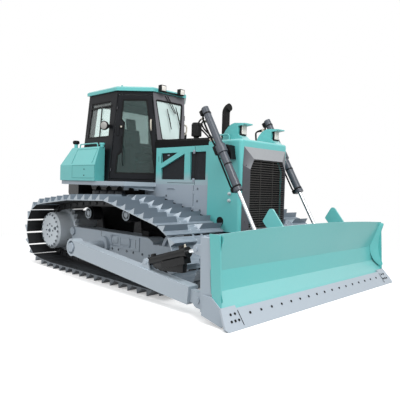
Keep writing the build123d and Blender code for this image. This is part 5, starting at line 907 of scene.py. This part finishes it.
lean_back = Vector((-0.19, 0, 0.98))
lean_out = Vector((0.98, 0, 0.19))
cushion("seat_base_cushion", (0.47, 0.46, 0.12), stand((at(0.665), 0, 2.005), (1, 0, 0.04), (-0.04, 0, 1)),
        0.018, (-0.10, 0.02, 0.14))
cushion("seat_back_cushion", (0.55, 0.44, 0.11), stand((at(0.425), 0, 2.33), lean_back, lean_out),
        0.018, (-0.14, 0.0, 0.14))
cushion("seat_headrest", (0.25, 0.24, 0.10), stand((at(0.378), 0, 2.67), lean_back, lean_out),
        0.016, ())
bellows = bmesh.new()
for i in range(6):
    add_block(bellows, (0.34 - 0.03 * (i % 2), 0.36 - 0.03 * (i % 2), 0.058),
              shift(at(0.625), 0, 1.605 + 0.056 * i), 0.012)
add_block(bellows, (0.07, 0.42, 0.46), stand((at(0.375), 0, 2.30), lean_out, lean_back), 0.02)
for y in (-0.06, 0.06):
    add_round(bellows, stand((at(0.39), y, 2.55), (1, 0, 0), lean_back), ((0.008, 0.0), (0.008, 0.12)), 10)
piece("seat_bellows", bellows, "machine", rubber_black)
rests = bmesh.new()
for y in (-0.225, 0.225):
    add_block(rests, (0.30, 0.035, 0.045), shift(at(0.60), y, 2.235), 0.012)
    add_block(rests, (0.05, 0.02, 0.12), stand((at(0.47), y * 0.97, 2.185), (1, 0, 0), lean_back), 0.005)
piece("seat_arm_rests", rests, "machine", rubber_black)

# ---------------------------------------------------------------- controls
# The dashboard and side consoles are moulded plastic with a rubber-gripped wheel and two levers.
# All of them are fixed: nothing in the cab has a joint but the doors.
finish("console", moulded_black)
wheel = bmesh.new()
wheel_place = stand((at(1.275), 0.05, 2.385), (0.8, 0, 0.6), (-0.6, 0, 0.8))
rim_place = wheel_place @ shift(0.175, 0, 0) @ Matrix.Rotation(math.pi / 2, 4, "X")
bmesh.ops.create_circle(wheel, segments=10, radius=0.014, matrix=rim_place)
bmesh.ops.spin(wheel, geom=list(wheel.verts) + list(wheel.edges), cent=wheel_place.translation,
               axis=wheel_place.col[2].to_3d(), angle=2 * math.pi, steps=48, use_merge=True)
for i in range(3):
    spoke = wheel_place @ Matrix.Rotation(math.radians(90 * i), 4, "Z") @ shift(0.09, 0, -0.006)
    add_block(wheel, (0.17, 0.022, 0.010), spoke, 0.003)
add_round(wheel, wheel_place, ((0.020, -0.13), (0.022, -0.03), (0.042, -0.015), (0.042, 0.006),
                               (0.030, 0.012)), 20)
piece("steering_wheel", wheel, "machine", rubber_black)
for name, y in (("near", -0.35), ("far", 0.35)):
    lever = bmesh.new()
    foot = stand((at(0.82), y, 2.125), (1, 0, 0), (0.12, 0, 1))
    add_round(lever, foot, ((0.040, 0.0), (0.030, 0.03), (0.010, 0.05), (0.010, 0.15), (0.024, 0.165),
                            (0.028, 0.20), (0.022, 0.24), (0.010, 0.25)), 20)
    piece(f"console_lever_{name}", lever, "machine", rubber_black)
binnacle = bmesh.new()
add_block(binnacle, (0.10, 0.34, 0.16), stand((at(1.44), 0, 2.33), (0.9, 0, -0.4), (0.4, 0, 0.9)), 0.03)
piece("dash_binnacle", binnacle, "machine", moulded_black)

# ---------------------------------------------------------------- blade
# The mouldboard is rolled plate with a crowned top, welded to boxed stiffeners and to curved end gussets.
# The cutting edges are hardened steel on countersunk bolts.
finish("mouldboard", teal_enamel)
finish("blade_frame", shade_grey)
finish("blade_lugs", shade_grey)
edge_steel = sprayed_enamel("scoured_edge_steel", "#a9b3bd", 0.4, dust=0.06)
finish("cutting_edge", edge_steel)
edge_along = Vector((0.137, 0, -0.186)).normalized()
edge_out = Vector((0.186, 0, 0.137)).normalized()
edge_foot = Vector((at(4.8375), 0, 0.006))
edge_bolts = bmesh.new()
corner_bolts = ((1.84, 0.175), (1.91, 0.175), (1.82, 0.10), (1.88, 0.10), (1.94, 0.10))
spots = [(-1.60 + 0.2 * i, 0.145) for i in range(17)]
spots += [(sign * y, up) for sign in (-1, 1) for y, up in corner_bolts]
for y, up in spots:
    spot = edge_foot - edge_along * up + Vector((0, y, 0)) + edge_out * 0.001
    face = stand(spot, (0, 1, 0), edge_out)
    add_round(edge_bolts, face, ((0.015, -0.003), (0.015, 0.002), (0.011, 0.004), (0.006, 0.001)), 12)
piece("edge_bolts", edge_bolts, "blade", rubber_black)
seams = bmesh.new()
for y in (-1.78, 1.78):
    spot = edge_foot - edge_along * 0.12 + Vector((0, y, 0)) + edge_out * 0.0015
    add_block(seams, (0.006, 0.17, 0.003), stand(spot, (0, 1, 0), edge_out))
piece("edge_seams", seams, "blade", rubber_black)
# The gusset is a curved plate that fills the corner between the mouldboard's hollow and its end plate.
# Each row is a station, a height and how wide the gusset is there.
rows = ((4.640, 0.975, 0.008), (4.600, 0.88, 0.075), (4.558, 0.70, 0.130), (4.556, 0.52, 0.145),
        (4.590, 0.38, 0.110), (4.660, 0.25, 0.010))
for side, sign in SIDES:
    gusset = bmesh.new()
    inner = [gusset.verts.new((at(s - 0.045), sign * (1.985 - wide), z)) for s, z, wide in rows]
    outer = [gusset.verts.new((at(s + 0.06), sign * 1.997, z + 0.01)) for s, z, wide in rows]
    for line in (inner, outer):
        for a, b in zip(line, line[1:]):
            gusset.edges.new((a, b))
    bmesh.ops.bridge_loops(gusset, edges=list(gusset.edges))
    bmesh.ops.solidify(gusset, geom=list(gusset.faces), thickness=0.008)
    made = piece(f"blade_gusset_{side}", gusset, "blade", teal_enamel, 60)
    smoother = made.modifiers.new("rolled", "SUBSURF")
    smoother.levels = smoother.render_levels = 2

# ---------------------------------------------------------------- push arms and braces
# The arms are welded box section with a forged eye at each end, held by pins with bolted keepers.
arm_enamel = sprayed_enamel("pale_grey_arm_enamel", "#adb9c3", 0.42, dust=0.08, coat=0.05)
for node in ("push_arm_right", "push_arm_left", "arm_sockets", "pitch_brace"):
    finish(node, arm_enamel)

# ---------------------------------------------------------------- tilt cylinder
# The cylinder is steel tube in black paint with a guard box under it, and its rod is hard chrome.
# Its head has a ring of eight bolts, and a port block stands near each end of it.
cylinder_black = sprayed_enamel("black_cylinder_enamel", "#0d0e10", 0.36, dust=0.01, specular=0.22)
finish("tilt_barrel", cylinder_black)
chrome = sprayed_enamel("hard_chrome_rod", "#d9dde0", 0.16, dust=0.0)
chrome.node_tree.nodes["Principled BSDF"].inputs["Metallic"].default_value = 1.0
finish("tilt_rod", chrome)
tilt_y = -1.820
tilt_foot = Vector((at(3.250), tilt_y, 0.500))
tilt_head = Vector((at(4.200), tilt_y, 0.775))
tilt_along = (tilt_head - tilt_foot).normalized()
tilt_up = tilt_along.cross(Vector((0, 1, 0)))
tilt = stand(tilt_foot, tilt_along, tilt_up)


def add_plate(shape, outline, across, edge=0.0):
    """Adds a plate: an outline of points and the vector that it is as thick as, with its edges rounded."""
    across = Vector(across)
    verts = [shape.verts.new(Vector(point) - across / 2) for point in outline]
    face = bmesh.ops.contextual_create(shape, geom=verts)["faces"]
    grown = bmesh.ops.extrude_face_region(shape, geom=face, use_keep_orig=True)["geom"]
    top = [g for g in grown if isinstance(g, bmesh.types.BMVert)]
    bmesh.ops.translate(shape, verts=top, vec=across)
    if edge:
        round_edges(shape, verts + top, edge)


guard = bmesh.new()
outline = [tilt @ Vector((x, 0, -0.035)) for x in (0.70, 0.13)]
outline += [Vector((at(s), tilt_y, z)) for s, z in ((3.385, 0.455), (3.52, 0.425), (3.93, 0.455))]
add_plate(guard, outline, (0, 0.07, 0), 0.008)
piece("tilt_guard", guard, "tilt_cylinder", cylinder_black)
guard_bolts = bmesh.new()
for sign in (-1, 1):
    spots = [tilt @ Vector((x, -sign * 0.035, z)) for x, z in ((0.30, -0.061), (0.62, -0.100))]
    add_bolts(guard_bolts, spots, tilt_along, (0, sign, 0), 0.034)
add_round(guard_bolts, stand(tilt @ Vector((0.72, 0, 0.06)), tilt_along, tilt_up),
          ((0.016, 0.0), (0.016, 0.014), (0.010, 0.018), (0.010, 0.04)), 12)
piece("tilt_guard_bolts", guard_bolts, "tilt_cylinder", cream_plastic)
head = bmesh.new()
head_place = stand(tilt_foot + tilt_along * 0.715, (0, 1, 0), tilt_along)
add_round(head, head_place, ((0.058, -0.05), (0.064, -0.045), (0.064, 0.035), (0.052, 0.04)), 32)
add_bolts(head, circle(head_place, 0.052, 0.036, 8), (0, 1, 0), tilt_along, 0.016)
add_block(head, (0.07, 0.05, 0.05), tilt @ shift(0.66, 0, 0.07), 0.008)
add_block(head, (0.06, 0.05, 0.04), tilt @ shift(0.12, 0, 0.062), 0.008)
piece("tilt_head", head, "tilt_cylinder", cylinder_black)

# ---------------------------------------------------------------- hoist cylinders
# Each barrel is honed steel tube in dark grey paint, held by a trunnion collar on the nose.
# Steel pipes behind it feed its ends through clamped blocks, and hoses join it to the valve.
hoist_enamel = sprayed_enamel("dark_grey_hoist_enamel", "#464c55", 0.34, dust=0.03, specular=0.4)
for node in ("hoist_barrel_right", "hoist_barrel_left"):
    finish(node, hoist_enamel)
finish("hoist_blocks", cylinder_black)
for node in ("hoist_rod_right", "hoist_rod_left"):
    finish(node, chrome)
trunnion = Vector((at(3.497), 0, 2.016))
lower_pin = Vector((at(4.315), 0, 0.600))
hoist_along = (lower_pin - trunnion).normalized()
hoist_back = Vector((0, 1, 0)).cross(hoist_along).normalized()
hoist_y = 0.755


def on_barrel(sign, along, back, aside=0.0):
    """A point beside a hoist cylinder: how far down from its trunnion, behind its axis and outwards."""
    return trunnion + Vector((0, sign * (hoist_y + aside), 0)) + hoist_along * along + hoist_back * back


# Each block's row is how far it is along the barrel and behind it, and its size.
clamped = ((-0.665, 0.07, (0.08, 0.07, 0.07)), (-0.03, 0.07, (0.14, 0.09, 0.09)),
           (0.615, 0.055, (0.06, 0.10, 0.075)))
lower_pipe = ((0.03, 0.085, 0.01), (0.08, 0.095, 0.01), (0.12, 0.10, 0.0), (0.50, 0.10, 0.0),
              (0.56, 0.10, 0.0), (0.60, 0.085, 0.0))
upper_pipe = ((-0.64, 0.075, 0.0), (-0.60, 0.105, 0.0), (-0.50, 0.115, 0.0), (-0.25, 0.10, 0.0),
              (-0.10, 0.085, 0.0), (-0.04, 0.07, 0.0))
for side, sign in SIDES:
    body = f"hoist_cylinder_{side}"
    blocks = bmesh.new()
    for along, behind, size in clamped:
        place = stand(on_barrel(sign, along, behind), hoist_along, (0, sign, 0))
        add_block(blocks, size, place, 0.01)
        for x in (-0.022, 0.022):
            add_bolts(blocks, [place @ Vector((x, 0, size[2] / 2))], hoist_along, (0, sign, 0), 0.018)
    for along, radius in ((-0.60, 0.058), (0.25, 0.060), (0.60, 0.062)):
        band = stand(on_barrel(sign, along, 0.0), (0, 1, 0), hoist_along)
        add_round(blocks, band, ((radius - 0.004, -0.012), (radius, -0.01), (radius, 0.01),
                                 (radius - 0.004, 0.012)), 32)
    piece(f"hoist_clamps_{side}", blocks, body, rubber_black)
    tube(f"hoist_pipe_{side}", [on_barrel(sign, *spot) for spot in lower_pipe],
         0.013, body, rubber_black)
    tube(f"hoist_upper_pipe_{side}", [on_barrel(sign, *spot) for spot in upper_pipe],
         0.014, body, rubber_black)
    cap = bmesh.new()
    cap_face = stand(trunnion + Vector((0, sign * 0.665, 0)), (1, 0, 0), (0, sign, 0))
    add_round(cap, cap_face, ((0.07, -0.05), (0.075, -0.045), (0.075, 0.0), (0.06, 0.008)), 32)
    piece(f"trunnion_boss_{side}", cap, "machine", cylinder_black)


def hose(name, points, radius, flexes):
    """Makes a bent hose between the machine and a barrel, with a cream ferrule at each end."""
    made = tube(f"{name}_line", points, radius, "machine", rubber_black, 2)
    mesh = bpy.data.meshes.new_from_object(made.evaluated_get(bpy.context.evaluated_depsgraph_get()))
    bpy.data.objects.remove(made)
    shape = bmesh.new()
    shape.from_mesh(mesh)
    bpy.data.meshes.remove(mesh)
    line = piece(name, shape, None, rubber_black)
    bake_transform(line)
    for end, body, tip, inner in (("foot", "machine", points[0], points[1]),
                                  ("head", flexes, points[-1], points[-2])):
        ferrule = bmesh.new()
        place = stand(tip, (0.3, 1, 0.2), Vector(inner) - Vector(tip))
        add_round(ferrule, place, ((radius + 0.008, 0.0), (radius + 0.008, 0.014), (radius + 0.003, 0.018),
                                   (radius + 0.003, 0.045), (radius, 0.048)), 12)
        piece(f"{name}_{end}", ferrule, body, cream_plastic)


# On each side two rubber hoses go from the hood to the barrel's top, 34 mm apart.
hose_line = ((3.10, 0.545, 2.17), (3.05, 0.60, 2.26), (2.97, 0.68, 2.36), (2.955, 0.70, 2.46))
for side, sign in SIDES:
    for number, apart in ((1, 0.0), (2, 0.034)):
        points = [(at(s + apart), sign * (y - apart), z) for s, y, z in hose_line]
        points.append(tuple(on_barrel(sign, -0.60 + apart * 1.5, 0.105, -0.01 - apart)))
        hose(f"hoist_hose_{number}_{side}", points, 0.012, f"hoist_cylinder_{side}")
